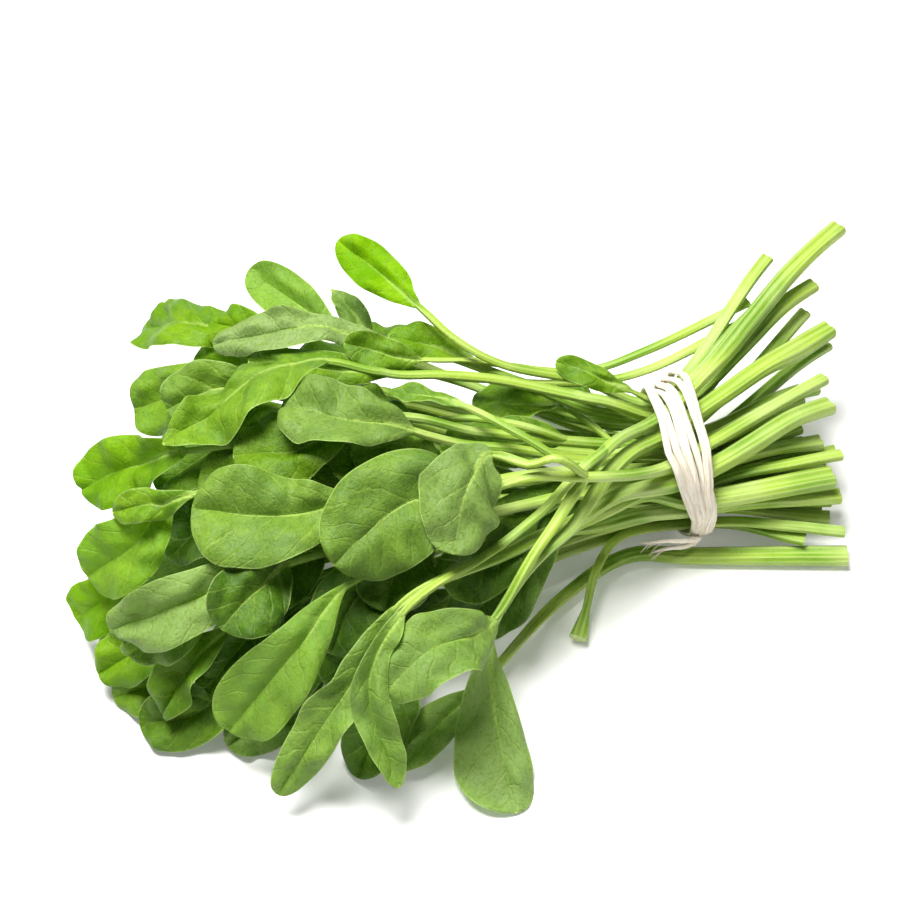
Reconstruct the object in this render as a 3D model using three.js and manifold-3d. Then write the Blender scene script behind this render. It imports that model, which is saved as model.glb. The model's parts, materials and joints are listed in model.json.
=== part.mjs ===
/**
 * A bunch of fresh spinach, lying on its side and tied round its stalks.
 * Millimetres. +X runs along the bunch to the cut ends, +Z is up, the table is z = 0 and the
 * origin is on the table, under the tie. The leaves lie toward -X.
 */
import * as THREE from "three";
import Module from "manifold-3d";

// Driving dimensions.
const GAP = 0.35; // air left between one stem and the next
const PILE_CELL = 0.5; // square of the height map that the leaves are laid on
const SAMPLE_STEP = 0.42; // spacing of the points that feel for the pile
const BLADE_THICKNESS = 0.8;
const TIP_RIB = 0.35; // radius of the midrib at a leaf's tip
const TIP_HALF_WIDTH = 0.9;
const LOCAL_REACH = 14; // how far a lifted place raises the stem on either side of it
const REACH_GROWTH = 1.3; // and how much further for every millimetre of lift
const SIDE_SLOPE = 0.55; // steepest bend of a blade across its width
const CUT_FLARE = 1.2; // how much thicker a stalk is at its cut end than in the tie
const BRANCH_AT = 40; // where further leaves leave their stalk, from the tie on
const BRANCH_STEP = 8;
const STALK_STATION = 21; // distance between cross-sections of a stalk
const BLADE_STATIONS = [0, 0.1, 0.24, 0.4, 0.57, 0.73, 0.87, 0.96, 1];
const COLUMNS = [-1, 0, 1]; // margin, midrib, margin

const HEAP = { x: -142, y: 18, length: 108, halfWidth: 97, height: 80, shoulder: 0.7 };
const NECK_X = [-142, -105, -60, -30, 0, 100];
const NECK_HALF_WIDTH = [97, 84, 60, 43, 32, 32];
const RIDGE_X = [-142, -60, 0];
const RIDGE_HEIGHT = [80, 75, 66];
const MIDDLE_X = [-260, -142, -60, 0];
const MIDDLE_Y = [4, HEAP.y, 9, 0];
const STEEPEST = 0.9; // steepest slope that a blade copies from the heap
const SLOPE_REACH = 8; // distance over which the heap's slope is taken
const TURN_LENGTH = 40; // stretch of stalk in which a leaf turns to face its way
const ROLL_LENGTH = 30;
const NARROW = 2.5; // half width under which a stem is lifted as a whole
const SETTLE_PASSES = 6;
const ROOT_CLEARING = 1.2; // round a stalk, where its own further leaves may begin

/** How the cut ends fan out: rise across and up for a place in the tie, and their lengths. */
const FAN = { spread: 1.44, shift: -4, level: 0.92, tilt: 0.12, lowest: 3.5, nearest: 54, uneven: 17 };
const FAN_HEIGHT = [4, 16, 27, 38, 50];
const FAN_SHIFT = [-10, 0, 13, 30, 43];

const TIE = {
  centre: [3, 27],
  places: [-1, -0.55, 0.35, 0.95],
  halfWidth: 2.2,
  halfThickness: 1.1,
  weave: 0.12,
  directions: 72,
  slice: 2,
  slices: 14,
  core: 18,
  step: 0.5,
  press: 0.8,
};
/** The tie's band: angle round the stalks from the back, place of its middle, half width. */
const BAND = {
  angle: [-90, 0, 45, 90, 120, 150, 180, 225, 270],
  middle: [2.5, 4, 1, 0, 0, 1.5, 5, 6, 2.5],
  half: [4, 5, 7, 8, 8.5, 5, 3.5, 3.2, 4],
};
/** The tie's two short ends, which lie along the front of the stalks. */
const TAILS = [
  [[5, -24, 11], [-3, -27, 16], [-11, -27.5, 19], [-20, -27, 20]],
  [[4, -24, 9], [-3, -27, 12], [-9, -27, 13], [-15, -26.5, 12]],
];
const TIE_STATIONS = 30;
const TIE_TURN = (2 * Math.PI) / TIE_STATIONS;
const TIE_COLOUR = 0xf3ead2;
const TIE_ROUGHNESS = 0.75;
/** Greens of a shaded, a sunlit and a silvery leaf. */
const DARK_GREEN = 0x5b8f22;
const BRIGHT_GREEN = 0xa3d436;
const SILVER_GREEN = 0xb4cf96;
const LEAF_ROUGHNESS = 0.42;

/** Directions a blade may face: the heap's own slope unless one of these is given. */
const OUTWARD = [-0.2, -0.55, 0.8];
const UPWARD = [-0.1, -0.3, 0.9];
const FORWARD = [-0.3, -0.6, 0.7];

const FORM = {
  via: [],
  roll: [0, 0],
  cup: [25, 12],
  skew: 0,
  wave: 1.5,
  waves: 2.5,
  shape: [0.9, 0.5],
  bright: 0.4,
  pale: 0.1,
};

/** One leaf: where its blade begins, its middle and its tip, and its width. */
function leaf(base, middle, tip, width, form = {}) {
  return { ...FORM, base, middle, tip, width, ...form };
}

/** One stem: radius of its stalk, place [y, z] where it passes the tie, leaves, cut end. */
function stem(name, radius, place, leaves, cut = null) {
  return { name: `stem_${name}`, radius, place, leaves, cut };
}

/** Every stem, from the table up: a later one lies on the earlier ones. */
const STEMS = [
  stem("low_left", 2.7, [1.5, 5.7], [
    leaf([-128, 16, 4], [-165, 30, 2], [-205, 42, 1], 44, { bright: 0.15 }),
    leaf([-122, -6, 5], [-160, -22, 3], [-198, -32, 2], 42, { bright: 0.1 }),
    leaf([-150, 6, 5], [-188, 8, 3], [-226, 8, 1], 34, { bright: 0.15 }),
  ]),
  stem("low_back", 2.7, [8, 5.7], [
    leaf([-98, 46, 5], [-136, 66, 2], [-172, 82, 1], 34, { bright: 0.3 }),
    leaf([-80, 60, 7], [-100, 78, 4], [-122, 96, 1], 30, { bright: 0.3 }),
  ]),
  stem("low_front", 2.7, [-4.5, 5.7], [
    leaf([-95, -22, 6], [-125, -42, 4], [-154, -62, 1], 38, { bright: 0.05 }),
    leaf([-62, 22, 6], [-100, 42, 5], [-138, 52, 3], 42, { root: 30, bright: 0.1 }),
  ]),
  stem("back_neck", 2.3, [22, 12], [
    leaf([-14, 34, 18], [-32, 50, 18], [-54, 62, 16], 38, { bright: 0.3 }),
  ]),
  stem("table_stalk", 3.7, [-26, 4], [
    leaf([-100, -71, 9], [-118, -83, 8], [-139, -96, 4], 21, {
      via: [[-23, -20, 4], [-57, -36, 6]], bright: 0.35, pale: 0.5,
    }),
  ], [63, -42, 4.2]),
  stem("front_edge", 2.4, [-11, 7.5], [
    leaf([-154, -52, 16], [-179, -63, 8], [-199, -70, 2], 24, { bright: 0.2, pale: 0.3 }),
  ], [47, -34, 6]),
  stem("front_stub", 2.1, [-17.5, 11], [
    leaf([-49, -45, 8], [-52, -50, 6], [-55, -55, 4.5], 0, {
      via: [[-26, -16, 11], [-40, -29, 11]], baseRadius: 1.7, tipRadius: 3.8, bright: 0,
    }),
  ], [63, -36, 6]),
  stem("left_edge", 2.4, [6, 11.8], [
    leaf([-203, -40, 20], [-219, -39, 10], [-238, -38, 3], 22, { bright: 0.45 }),
    leaf([-211, -11, 30], [-225, -18, 16], [-240, -18, 5], 22, { bright: 0.6 }),
  ]),
  stem("front_low", 2.4, [-12, 11.8], [
    leaf([-185, -45, 18], [-207, -58, 12], [-230, -52, 3], 26, { bright: 0.2, cup: [30, 14] }),
    leaf([-119, -53, 22], [-136, -73, 16], [-153, -96, 2], 26, { bright: 0.1 }),
  ]),
  stem("inner_front", 2.7, [0, 11.8], [
    leaf([-145, -28, 30], [-165, -47, 23], [-182, -65, 12], 28, { bright: 0.05, cup: [34, 12] }),
    leaf([-165, -31, 41], [-183, -44, 32], [-204, -55, 17], 28, { bright: 0.1, cup: [30, 16] }),
  ]),
  stem("left_curl", 2.4, [-6, 11.8], [
    leaf([-188, -44, 40], [-206, -50, 29], [-220, -58, 13], 22, {
      roll: [-10, -25], cup: [40, 30], bright: 0.45,
    }),
    leaf([-112, -26, 37], [-141, -48, 30], [-157, -66, 21], 30, { bright: 0.05, cup: [36, 20] }),
  ]),
  stem("left_rim", 2.4, [12, 11.8], [
    leaf([-203, -24, 34], [-223, -30, 22], [-242, -30, 10], 25, { bright: 0.75 }),
    leaf([-218, 2, 35], [-233, -7, 25], [-247, -3, 12], 26, { look: OUTWARD, bright: 0.9 }),
  ]),
  stem("left_fold", 2.4, [-7.5, 17.9], [
    leaf([-185, -28, 46], [-208, -39, 42], [-229, -41, 28], 25, {
      roll: [10, 20], cup: [38, 24], bright: 0.5, pale: 0.2,
    }),
    leaf([-167, 16, 52], [-189, 6, 46], [-207, -3, 38], 30, { bright: 0.1 }),
  ]),
  stem("left_end", 2.7, [5, 17.9], [
    leaf([-200, 3, 66], [-219, -7, 56], [-239, -4, 39], 31, { look: OUTWARD, bright: 0.7 }),
    leaf([-150, 36, 68], [-178, 24, 68], [-207, 13, 62], 34, { bright: 0.3, cup: [30, 14] }),
  ]),
  stem("inner_slope", 2.5, [-13.5, 17.9], [
    leaf([-144, -12, 54], [-163, -24, 51], [-184, -34, 45], 34, { bright: 0.1, cup: [34, 10] }),
    leaf([-121, -30, 44], [-144, -46, 41], [-155, -59, 31], 34, { bright: 0.05, cup: [30, 20] }),
  ]),
  stem("left_glossy", 2.7, [-1.5, 17.9], [
    leaf([-171, -30, 60], [-204, -41, 57], [-234, -36, 38], 28, {
      roll: [0, 15], cup: [30, 20], shape: [0.8, 0.5], bright: 0.5, pale: 0.35,
    }),
    leaf([-138, -2, 65], [-165, -1, 72], [-192, -1, 68], 32, { bright: 0.3 }),
  ]),
  stem("front_dark", 3, [-20, 19.6], [
    leaf([-164, -34, 62], [-178, -44, 61], [-194, -55, 51], 30, { shape: [0.8, 0.5], bright: 0.15 }),
  ], [64, -24, 12]),
  stem("left_bright", 2.4, [11, 17.9], [
    leaf([-192, -7, 74], [-209, -3, 70], [-225, 2, 62], 14, { look: OUTWARD, bright: 0.6 }),
    leaf([-193, 12, 74], [-214, 25, 64], [-235, 31, 49], 28, {
      look: OUTWARD, shape: [0.7, 0.4], bright: 0.85,
    }),
  ]),
  stem("back_low", 2.5, [23, 18.5], [
    leaf([-85, 56, 48], [-115, 72, 42], [-148, 84, 34], 32, { bright: 0.5 }),
    leaf([-66, 58, 45], [-86, 74, 42], [-110, 90, 36], 28, { bright: 0.5 }),
  ]),
  stem("left_back", 2.5, [17, 17.9], [
    leaf([-160, 44, 72], [-186, 52, 67], [-209, 59, 59], 30, {
      look: OUTWARD, shape: [0.8, 0.35], bright: 0.6, pale: 0.15,
    }),
    leaf([-157, 60, 64], [-168, 67, 65], [-183, 69, 63], 20, { look: OUTWARD, bright: 0.6 }),
  ]),
  stem("left_back_inner", 2.5, [10, 24.4], [
    leaf([-160, 37, 77], [-178, 41, 77], [-197, 41, 69], 27, {
      look: OUTWARD, shape: [0.8, 0.4], bright: 0.5, pale: 0.3,
    }),
  ]),
  stem("back_bright", 2.5, [17, 24.4], [
    leaf([-158, 75, 57], [-181, 86, 58], [-197, 112, 50], 31, {
      look: UPWARD, shape: [0.75, 0.5], bright: 0.7,
    }),
    leaf([-142, 56, 65], [-155, 64, 68], [-172, 81, 61], 22, { look: OUTWARD, bright: 0.8 }),
  ]),
  stem("inner_top", 2.5, [-7, 24.4], [
    leaf([-103, -23, 55], [-122, -35, 52], [-132, -53, 39], 32, { bright: 0.1, cup: [30, 10] }),
    leaf([-125, -14, 63], [-144, -15, 70], [-166, -21, 72], 32, { bright: 0.25 }),
  ]),
  stem("thick_front", 4.2, [-22, 28], [
    leaf([-56, -29, 39], [-82, -41, 33], [-103, -51, 20], 32, {
      via: [[-21, -20, 38]], bright: 0.05, pale: 0.15,
    }),
  ], [61, -20, 22]),
  stem("top_small", 2.5, [-1, 24.4], [
    leaf([-108, -12, 67], [-126, -9, 76], [-143, -7, 79], 20, { bright: 0.5, cup: [35, 20] }),
    leaf([-100, -9, 69], [-117, -6, 79], [-134, -7, 82], 22, { bright: 0.5, pale: 0.2 }),
  ]),
  stem("back_pale", 2.5, [24, 27], [
    leaf([-119, 75, 62], [-135, 93, 66], [-152, 111, 72], 21, {
      look: OUTWARD, bright: 0.75, pale: 0.5,
    }),
    leaf([-109, 73, 60], [-114, 86, 63], [-120, 98, 66], 12, {
      look: UPWARD, shape: [0.5, 0.7], bright: 0.25, pale: 0.4,
    }),
  ], [58, 62, 48]),
  stem("neck_back", 2.5, [5, 28], [
    leaf([-43, 7, 52], [-72, 6, 55], [-96, 6, 58], 28, { bright: 0.2 }),
    leaf([-36, 27, 45], [-54, 31, 48], [-76, 34, 52], 24, {
      root: 10, bright: 0.45, cup: [30, 10],
    }),
  ], [82, 44, 36]),
  stem("neck_front", 2.5, [-13, 24.4], [
    leaf([-40, -14, 48], [-61, -22, 48], [-90, -32, 48], 26, { bright: 0.15 }),
    leaf([-65, -28, 50], [-88, -40, 47], [-110, -49, 47], 28, { root: 30, bright: 0.1 }),
  ]),
  stem("top_dark", 2.7, [6.5, 30.9], [
    leaf([-125, 0, 83], [-152, -1, 83], [-177, 4, 80], 30, { bright: 0.3 }),
    leaf([-102, 17, 69], [-124, 24, 72], [-149, 38, 74], 28, { bright: 0.3 }),
  ]),
  stem("top_round", 2.9, [-6, 30.9], [
    leaf([-135, -25, 79], [-164, -25, 79], [-196, -13, 75], 40, {
      shape: [0.9, 0.45], skew: -0.1, bright: 0.5, pale: 0.3,
    }),
  ]),
  stem("top_grey", 2.9, [0, 31], [
    leaf([-109, -6, 87], [-133, -3, 93], [-156, 13, 92], 30, {
      shape: [0.8, 0.45], bright: 0.5, pale: 0.5,
    }),
  ]),
  stem("front_large", 2.9, [-12, 30.9], [
    leaf([-143, -48, 62], [-167, -66, 54], [-198, -77, 24], 30, {
      shape: [1.1, 0.4], cup: [30, 6], bright: 0.7, pale: 0.3,
    }),
  ]),
  stem("back_long", 1.9, [41, 45], [
    leaf([-105, 37, 75], [-136, 41, 81], [-162, 55, 74], 18, {
      via: [[-27, 38, 48]], look: OUTWARD, bright: 0.4,
    }),
  ], [44, 52, 50]),
  stem("front_rolled", 3.6, [-19, 36], [
    leaf([-128, -63, 62], [-155, -84, 43], [-185, -101, 12], 19, {
      via: [[-41, -29, 49], [-77, -43, 54]], roll: [0, 30], shape: [0.7, 0.45],
      bright: 0.55, pale: 0.45,
    }),
  ], [68, 7, 40]),
  stem("back_silver", 2.7, [21, 37], [
    leaf([-104, 51, 76], [-136, 57, 86], [-174, 66, 75], 19, {
      shape: [0.8, 0.45], look: UPWARD, bright: 0.5, pale: 1,
    }),
  ]),
  stem("back_pair", 1.9, [46, 51], [
    leaf([-75, 40, 72], [-90, 47, 77], [-106, 53, 79], 16, {
      via: [[-26, 41, 52]], look: UPWARD, bright: 0.6,
    }),
    leaf([-95, 37, 80], [-110, 40, 84], [-125, 46, 86], 16, { look: OUTWARD, bright: 0.4 }),
  ], [50, 60, 54]),
  stem("top_lance", 2.5, [2, 37], [
    leaf([-84, 5, 84], [-98, 17, 81], [-113, 26, 79], 9, {
      via: [[-49, -18, 68], [-68, -9, 80]], bright: 0.6, pale: 0.2,
    }),
  ], [73, 52, 50]),
  stem("top_twisted", 2.8, [18, 34], [
    leaf([-134, 32, 84], [-166, 27, 87], [-202, 14, 79], 29, {
      via: [[-29, 20, 54], [-55, 27, 66], [-86, 29, 78], [-118, 30, 84]],
      roll: [-10, 20], cup: [10, 20], skew: -0.25, wave: 3, shape: [0.7, 0.7],
      bright: 0.6, pale: 0.15,
    }),
  ], [77, 57, 60]),
  stem("back_raised", 2.4, [26, 42], [
    leaf([-92, 54, 92], [-103, 74, 94], [-117, 93, 98], 19, {
      via: [[-29, 32, 56], [-65, 34, 74], [-82, 42, 85]], look: FORWARD, shape: [0.8, 0.5],
      bright: 1, pale: 0,
    }),
  ], [62, 73, 62]),
  stem("neck_small", 1.7, [20, 47], [
    leaf([-12, 20, 56], [-26, 27, 59], [-41, 36, 60], 13, { look: OUTWARD, bright: 0.5 }),
  ], [52, 50, 50]),
  stem("front_hanging", 3.7, [1, 42], [
    leaf([-93, -63, 10], [-98, -95, 4], [-99, -124, 1], 30, {
      via: [[-36, -24, 56], [-62, -46, 42], [-81, -54, 24]], shape: [1, 0.45], skew: 0.3,
      cup: [14, 4], bright: 0.4, pale: 0.6,
    }),
  ], [80, 42, 48]),
  stem("front_fork", 3.4, [8, 42], [
    leaf([-93, -67, 47], [-117, -81, 40], [-141, -91, 27], 27, {
      via: [[-38, -20, 59], [-69, -48, 58]], shape: [0.6, 0.5], bright: 0.6, pale: 0.65,
    }),
    leaf([-128, -68, 64], [-146, -87, 49], [-142, -115, 22], 17, {
      via: [[-67, -37, 60], [-95, -50, 62]], cup: [40, 26], shape: [0.6, 0.5],
      bright: 0.7, pale: 0.6,
    }),
  ], [94, 77, 70]),
  stem("top_broad", 2.8, [-13, 42], [
    leaf([-91, -31, 76], [-119, -34, 84], [-150, -48, 72], 42, {
      via: [[-43, -33, 64]], shape: [0.6, 0.45], cup: [10, -12], bright: 0.4, pale: 0.3,
    }),
    leaf([-84, -24, 79], [-97, -38, 84], [-107, -57, 78], 32, {
      root: 58, via: [[-70, -31, 72]], shape: [0.55, 0.5], cup: [-14, -20], bright: 0.4, pale: 0.5,
    }),
  ], [68, 16, 36]),
];
/** Stems that lie beside the tied ones, outside the tie. */
const LOOSE = ["stem_table_stalk", "stem_back_long", "stem_back_pair"];

// Curves and small numbers.
const clamp = (x, low, high) => Math.min(Math.max(x, low), high);
const mix = (a, b, t) => a + (b - a) * t;
const vec = (p) => new THREE.Vector3(...p);

/** Straight-line interpolation in a rising list. */
function interpolate(x, xs, ys) {
  const i = clamp(xs.findIndex((v) => v >= x) - 1, 0, xs.length - 2);
  const last = x >= xs[xs.length - 1] ? xs.length - 2 : i;
  const t = clamp((x - xs[last]) / (xs[last + 1] - xs[last]), 0, 1);
  return mix(ys[last], ys[last + 1], t);
}

/** Smooth line through points, with the length reached at each of them. */
function smoothLine(points) {
  const per = 24;
  const curve = new THREE.CatmullRomCurve3(points.map(vec), false, "centripetal");
  const line = curve.getPoints(per * (points.length - 1));
  const length = [0];
  for (let i = 1; i < line.length; i++) {
    length.push(length[i - 1] + line[i].distanceTo(line[i - 1]));
  }
  return { line, length, knots: points.map((_, i) => length[i * per]) };
}

/** Point of a smooth line at a length along it. */
function pointAt({ line, length }, s) {
  const i = clamp(length.findIndex((v) => v >= s) - 1, 0, line.length - 2);
  const t = clamp((s - length[i]) / (length[i + 1] - length[i]), 0, 1);
  return line[i].clone().lerp(line[i + 1], t);
}

// The heap's form, which tilts the blades.
function heapHeight(x, y) {
  const t = clamp((HEAP.x - x) / HEAP.length, 0, 1);
  const end = Math.sqrt(1 - t * t);
  const width = t > 0 ? HEAP.halfWidth * end : interpolate(x, NECK_X, NECK_HALF_WIDTH);
  const top = t > 0 ? HEAP.height * end ** 0.8 : interpolate(x, RIDGE_X, RIDGE_HEIGHT);
  const middle = interpolate(x, MIDDLE_X, MIDDLE_Y);
  const across = (y - middle) / Math.max(width, 1e-3);
  return top * Math.max(1 - across * across, 0) ** HEAP.shoulder;
}

/** Direction a blade faces where it lies on the heap, gentler on the far side. */
function heapNormal(p) {
  const e = SLOPE_REACH;
  const slopeX = (heapHeight(p.x + e, p.y) - heapHeight(p.x - e, p.y)) / (2 * e);
  const slopeY = (heapHeight(p.x, p.y + e) - heapHeight(p.x, p.y - e)) / (2 * e);
  const gx = slopeX * (slopeX > 0 ? 0.6 : 0.4);
  const gy = slopeY * (slopeY < 0 ? 0.15 : 1);
  const k = Math.min(1, STEEPEST / Math.max(Math.hypot(gx, gy), 1e-6));
  return new THREE.Vector3(-gx * k, -gy * k, 1).normalize();
}

// One leaf as a loft.
/** Cross-section stations from the first end to the tip, with the form at each. */
function stationsOf(path, form, radii) {
  const start = path.knots[path.knots.length - 3];
  const end = path.knots[path.knots.length - 1];
  const count = Math.max(2, Math.round(start / STALK_STATION));
  const stalk = Array.from({ length: count }, (_, i) => (start * i) / count);
  const blade = BLADE_STATIONS.map((t) => start + (end - start) * t);
  const [rise, fall] = form.shape;
  const widest = rise / (rise + fall);
  const most = widest ** rise * (1 - widest) ** fall;
  const tipRadius = form.tipRadius ?? TIP_RIB;
  return [...stalk, ...blade].map((s) => {
    const m = clamp((s - start) / (end - start), 0, 1);
    const radius = interpolate(s, [0, path.knots[1], start, end], [...radii, tipRadius]);
    const outline = (form.width / 2) * ((m ** rise * (1 - m) ** fall) / most);
    const half = m > 0 && form.width ? Math.max(outline, TIP_HALF_WIDTH) : 0;
    return { s, m, radius, half, blade: clamp(half / 3, 0, 1), beforeBlade: s - start };
  });
}

/** Closed rings of six points: three on the upper face and three on the lower. */
function ringsOf(path, stations, form, seed, lifts) {
  const centres = stations.map(({ s }, i) => {
    const p = pointAt(path, s);
    p.z += lifts[i][1];
    return p;
  });
  const phase = [0.37, 0.71].map((k) => 2 * Math.PI * ((seed * 0.618 + k) % 1));
  return stations.map((st, i) => {
    const before = centres[Math.max(i - 1, 0)];
    const after = centres[Math.min(i + 1, centres.length - 1)];
    const along = after.clone().sub(before).normalize();
    const facing = form.look ? vec(form.look).normalize() : heapNormal(centres[i]);
    const settled = clamp(1 + st.beforeBlade / TURN_LENGTH, 0, 1);
    facing.multiplyScalar(settled).add(new THREE.Vector3(0, 0, 1 - settled));
    const side = along.clone().cross(facing).normalize();
    const roll = THREE.MathUtils.degToRad(mix(form.roll[0], form.roll[1], st.m));
    side.applyAxisAngle(along, -roll * clamp(1 + st.beforeBlade / ROLL_LENGTH, 0, 1));
    const up = side.clone().cross(along);
    const cup = THREE.MathUtils.degToRad(mix(form.cup[0], form.cup[1], st.m));
    const face = (q, j, lower) => {
      const round = Math.cos((q * Math.PI) / 2);
      const half = st.half * (1 + form.skew * q);
      const wide = Math.max(half, st.radius);
      const flat = 1 - st.blade;
      const crest = Math.sin(phase[q < 0 ? 0 : 1] + st.m * form.waves * 2 * Math.PI);
      const wave = form.wave * Math.abs(q) * crest * Math.min(1, st.half / 6) * st.blade;
      const fold = st.blade * Math.abs(q) * half * Math.sin(cup) + wave;
      const x = flat * st.radius * q + st.blade * wide * q * (flat + st.blade * Math.cos(cup));
      const keel = q === 0 ? st.radius : 0;
      const corner = q === 0 ? 0 : 0.35 * st.radius * flat;
      const upper = fold + flat * st.radius * round * 0.75 + st.blade * 0.5 * BLADE_THICKNESS + corner;
      const under = fold - flat * st.radius * round - st.blade * (0.5 * BLADE_THICKNESS + keel) - corner;
      const p = centres[i].clone().addScaledVector(side, x).addScaledVector(up, lower ? under : upper);
      p.z += lifts[i][j] - lifts[i][1];
      return p;
    };
    const upper = COLUMNS.map((q, j) => face(q, j, false));
    const lower = COLUMNS.map((q, j) => face(q, j, true)).reverse();
    return [...upper, ...lower];
  });
}

/** Column of the upper face that a ring point belongs to. */
const columnOf = (k) => (k < COLUMNS.length ? k : 2 * COLUMNS.length - 1 - k);

/** Visits points spread densely over a loft. */
function eachSample(rings, visit) {
  const n = rings[0].length;
  for (let i = 0; i + 1 < rings.length; i++) {
    const reach = Math.max(...rings[i].map((p, k) => p.distanceTo(rings[i + 1][k])));
    const steps = Math.max(1, Math.ceil(reach / SAMPLE_STEP));
    for (let k = 0; k < n; k++) {
      const [a, b] = [rings[i][k], rings[i][(k + 1) % n]];
      const [c, d] = [rings[i + 1][k], rings[i + 1][(k + 1) % n]];
      const across = Math.max(1, Math.ceil(Math.max(a.distanceTo(b), c.distanceTo(d)) / SAMPLE_STEP));
      for (let u = 0; u <= steps; u++) {
        const f = u / steps;
        for (let v = 0; v <= across; v++) {
          const g = v / across;
          const x = mix(mix(a.x, b.x, g), mix(c.x, d.x, g), f);
          const y = mix(mix(a.y, b.y, g), mix(c.y, d.y, g), f);
          const z = mix(mix(a.z, b.z, g), mix(c.z, d.z, g), f);
          visit(x, y, z, i, f, columnOf(k), columnOf((k + 1) % n));
        }
      }
    }
  }
}

// Laying the stems on each other.
/** Height of the pile's top over the table, on a square grid. */
class Pile {
  constructor() {
    this.x0 = -290;
    this.y0 = -170;
    this.nx = Math.round(420 / PILE_CELL);
    this.ny = Math.round(360 / PILE_CELL);
    this.top = new Float32Array(this.nx * this.ny);
  }

  copy() {
    const other = new Pile();
    other.top.set(this.top);
    return other;
  }

  cell(x, y) {
    const i = clamp(Math.floor((x - this.x0) / PILE_CELL), 1, this.nx - 2);
    const j = clamp(Math.floor((y - this.y0) / PILE_CELL), 1, this.ny - 2);
    return i * this.ny + j;
  }

  add(rings) {
    eachSample(rings, (x, y, z) => {
      const c = this.cell(x, y);
      this.top[c] = Math.max(this.top[c], z);
    });
  }

  /** Lowest height that is free at a point, counting the neighbouring cells. */
  free(x, y) {
    const c = this.cell(x, y);
    let top = 0;
    for (let di = -1; di <= 1; di++) {
      for (let dj = -1; dj <= 1; dj++) {
        top = Math.max(top, this.top[c + di * this.ny + dj]);
      }
    }
    return top > 0 ? top + GAP : 0;
  }
}

/** Spreads the lift needed at single places into a smooth rise along and across the leaf. */
function spreadLift(stations, need, rooted) {
  const wide = stations.map((st) => Math.max(st.half, st.radius));
  const eased = need.map((row, i) => {
    const most = Math.max(...row);
    if (wide[i] < NARROW) {
      return row.map(() => most);
    }
    const bend = (j, q) => row[j] - SIDE_SLOPE * Math.abs(COLUMNS[j] - q) * wide[i];
    return COLUMNS.map((q) => Math.max(0, ...COLUMNS.map((_, j) => bend(j, q))));
  });
  return stations.map((st, i) => {
    const row = COLUMNS.map((_, j) => {
      const rises = stations.map((other, o) => {
        const away = Math.abs(st.s - other.s) / (LOCAL_REACH + REACH_GROWTH * eased[o][j]);
        return away < 1 ? eased[o][j] * (0.5 + 0.5 * Math.cos(Math.PI * away)) : 0;
      });
      return Math.max(0, ...rises);
    });
    if (rooted && i === 0) {
      return row.map(() => 0);
    }
    return wide[i] < NARROW ? row.map(() => Math.max(...row)) : row;
  });
}

/** Lifts a leaf until all of it is clear of the pile. */
function settle(path, stations, form, seed, pile, parent) {
  let lifts = stations.map(() => [0, 0, 0]);
  for (let pass = 0; pass < SETTLE_PASSES; pass++) {
    const need = stations.map(() => [0, 0, 0]);
    let worst = 0;
    const rings = ringsOf(path, stations, form, seed, lifts);
    eachSample(rings, (x, y, z, i, f, a, b) => {
      let lack = pile.free(x, y) - z;
      if (lack <= 0.01 || (parent && (parent.holds(x, y, z) || (i === 0 && f < 0.4)))) {
        return;
      }
      lack /= parent && i === 0 ? f : 1;
      worst = Math.max(worst, lack);
      for (const column of [a, b]) {
        need[i][column] = Math.max(need[i][column], lack);
        need[i + 1][column] = Math.max(need[i + 1][column], lack);
      }
    });
    if (worst === 0) {
      break;
    }
    const more = spreadLift(stations, need, parent !== null);
    lifts = lifts.map((row, i) => row.map((v, j) => v + more[i][j]));
  }
  return { lifts, rings: ringsOf(path, stations, form, seed, lifts) };
}

/** Cut end of a stem whose own isn't stated: the stalks fan out and end unevenly. */
function fanCut([y, z], order) {
  const across = FAN.spread * y + FAN.shift + interpolate(z, FAN_HEIGHT, FAN_SHIFT);
  const height = Math.max(FAN.lowest, FAN.level * z + FAN.tilt * across);
  return [FAN.nearest + ((order * 37) % FAN.uneven), across, height];
}

/** The draped stalk of a stem, from which its further leaves branch. */
function stalkOf(first, radius) {
  const at = (s) => {
    const p = pointAt(first.path, s);
    p.z += interpolate(s, first.stations.map((st) => st.s), first.lifts.map((row) => row[1]));
    return p;
  };
  const total = first.path.knots[first.path.knots.length - 1];
  const line = Array.from({ length: 200 }, (_, i) => at((total * i) / 199));
  const clear = (radius + ROOT_CLEARING) ** 2;
  const holds = (x, y, z) => line.some((p) => (p.x - x) ** 2 + (p.y - y) ** 2 + (p.z - z) ** 2 < clear);
  return { at, holds };
}

/** Lays one stem on the pile and gives the lofts of its leaves. */
function layStem(one, order, pile) {
  const cut = one.cut ?? fanCut(one.place, order);
  const laid = [];
  one.leaves.forEach((form, j) => {
    const ends = [form.base, form.middle, form.tip];
    const seed = order * 3 + j;
    let path, radii, parent = null, ground = pile;
    if (j === 0) {
      path = smoothLine([cut, [0, ...one.place], ...form.via, ...ends]);
      radii = [CUT_FLARE * one.radius, one.radius, form.baseRadius ?? Math.min(1.6, 0.6 * one.radius)];
    } else {
      const stalk = stalkOf(laid[0], one.radius);
      const s = laid[0].path.knots[1] + (form.root ?? BRANCH_AT + BRANCH_STEP * j);
      const root = stalk.at(s);
      const next = stalk.at(s + 12).add(new THREE.Vector3(0, 0, 0.6));
      path = smoothLine([root.toArray(), next.toArray(), ...form.via, ...ends]);
      radii = [0.62 * one.radius, 0.62 * one.radius, Math.min(1.4, 0.5 * one.radius)];
      parent = stalk;
      ground = pile.copy();
      laid.forEach(({ rings }) => ground.add(rings));
    }
    const stations = stationsOf(path, form, radii);
    laid.push({ path, stations, ...settle(path, stations, form, seed, ground, parent) });
  });
  laid.forEach(({ rings }) => pile.add(rings));
  return laid.map(({ rings }) => rings);
}

// Solids.
const wasm = await Module();
wasm.setup();

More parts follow.
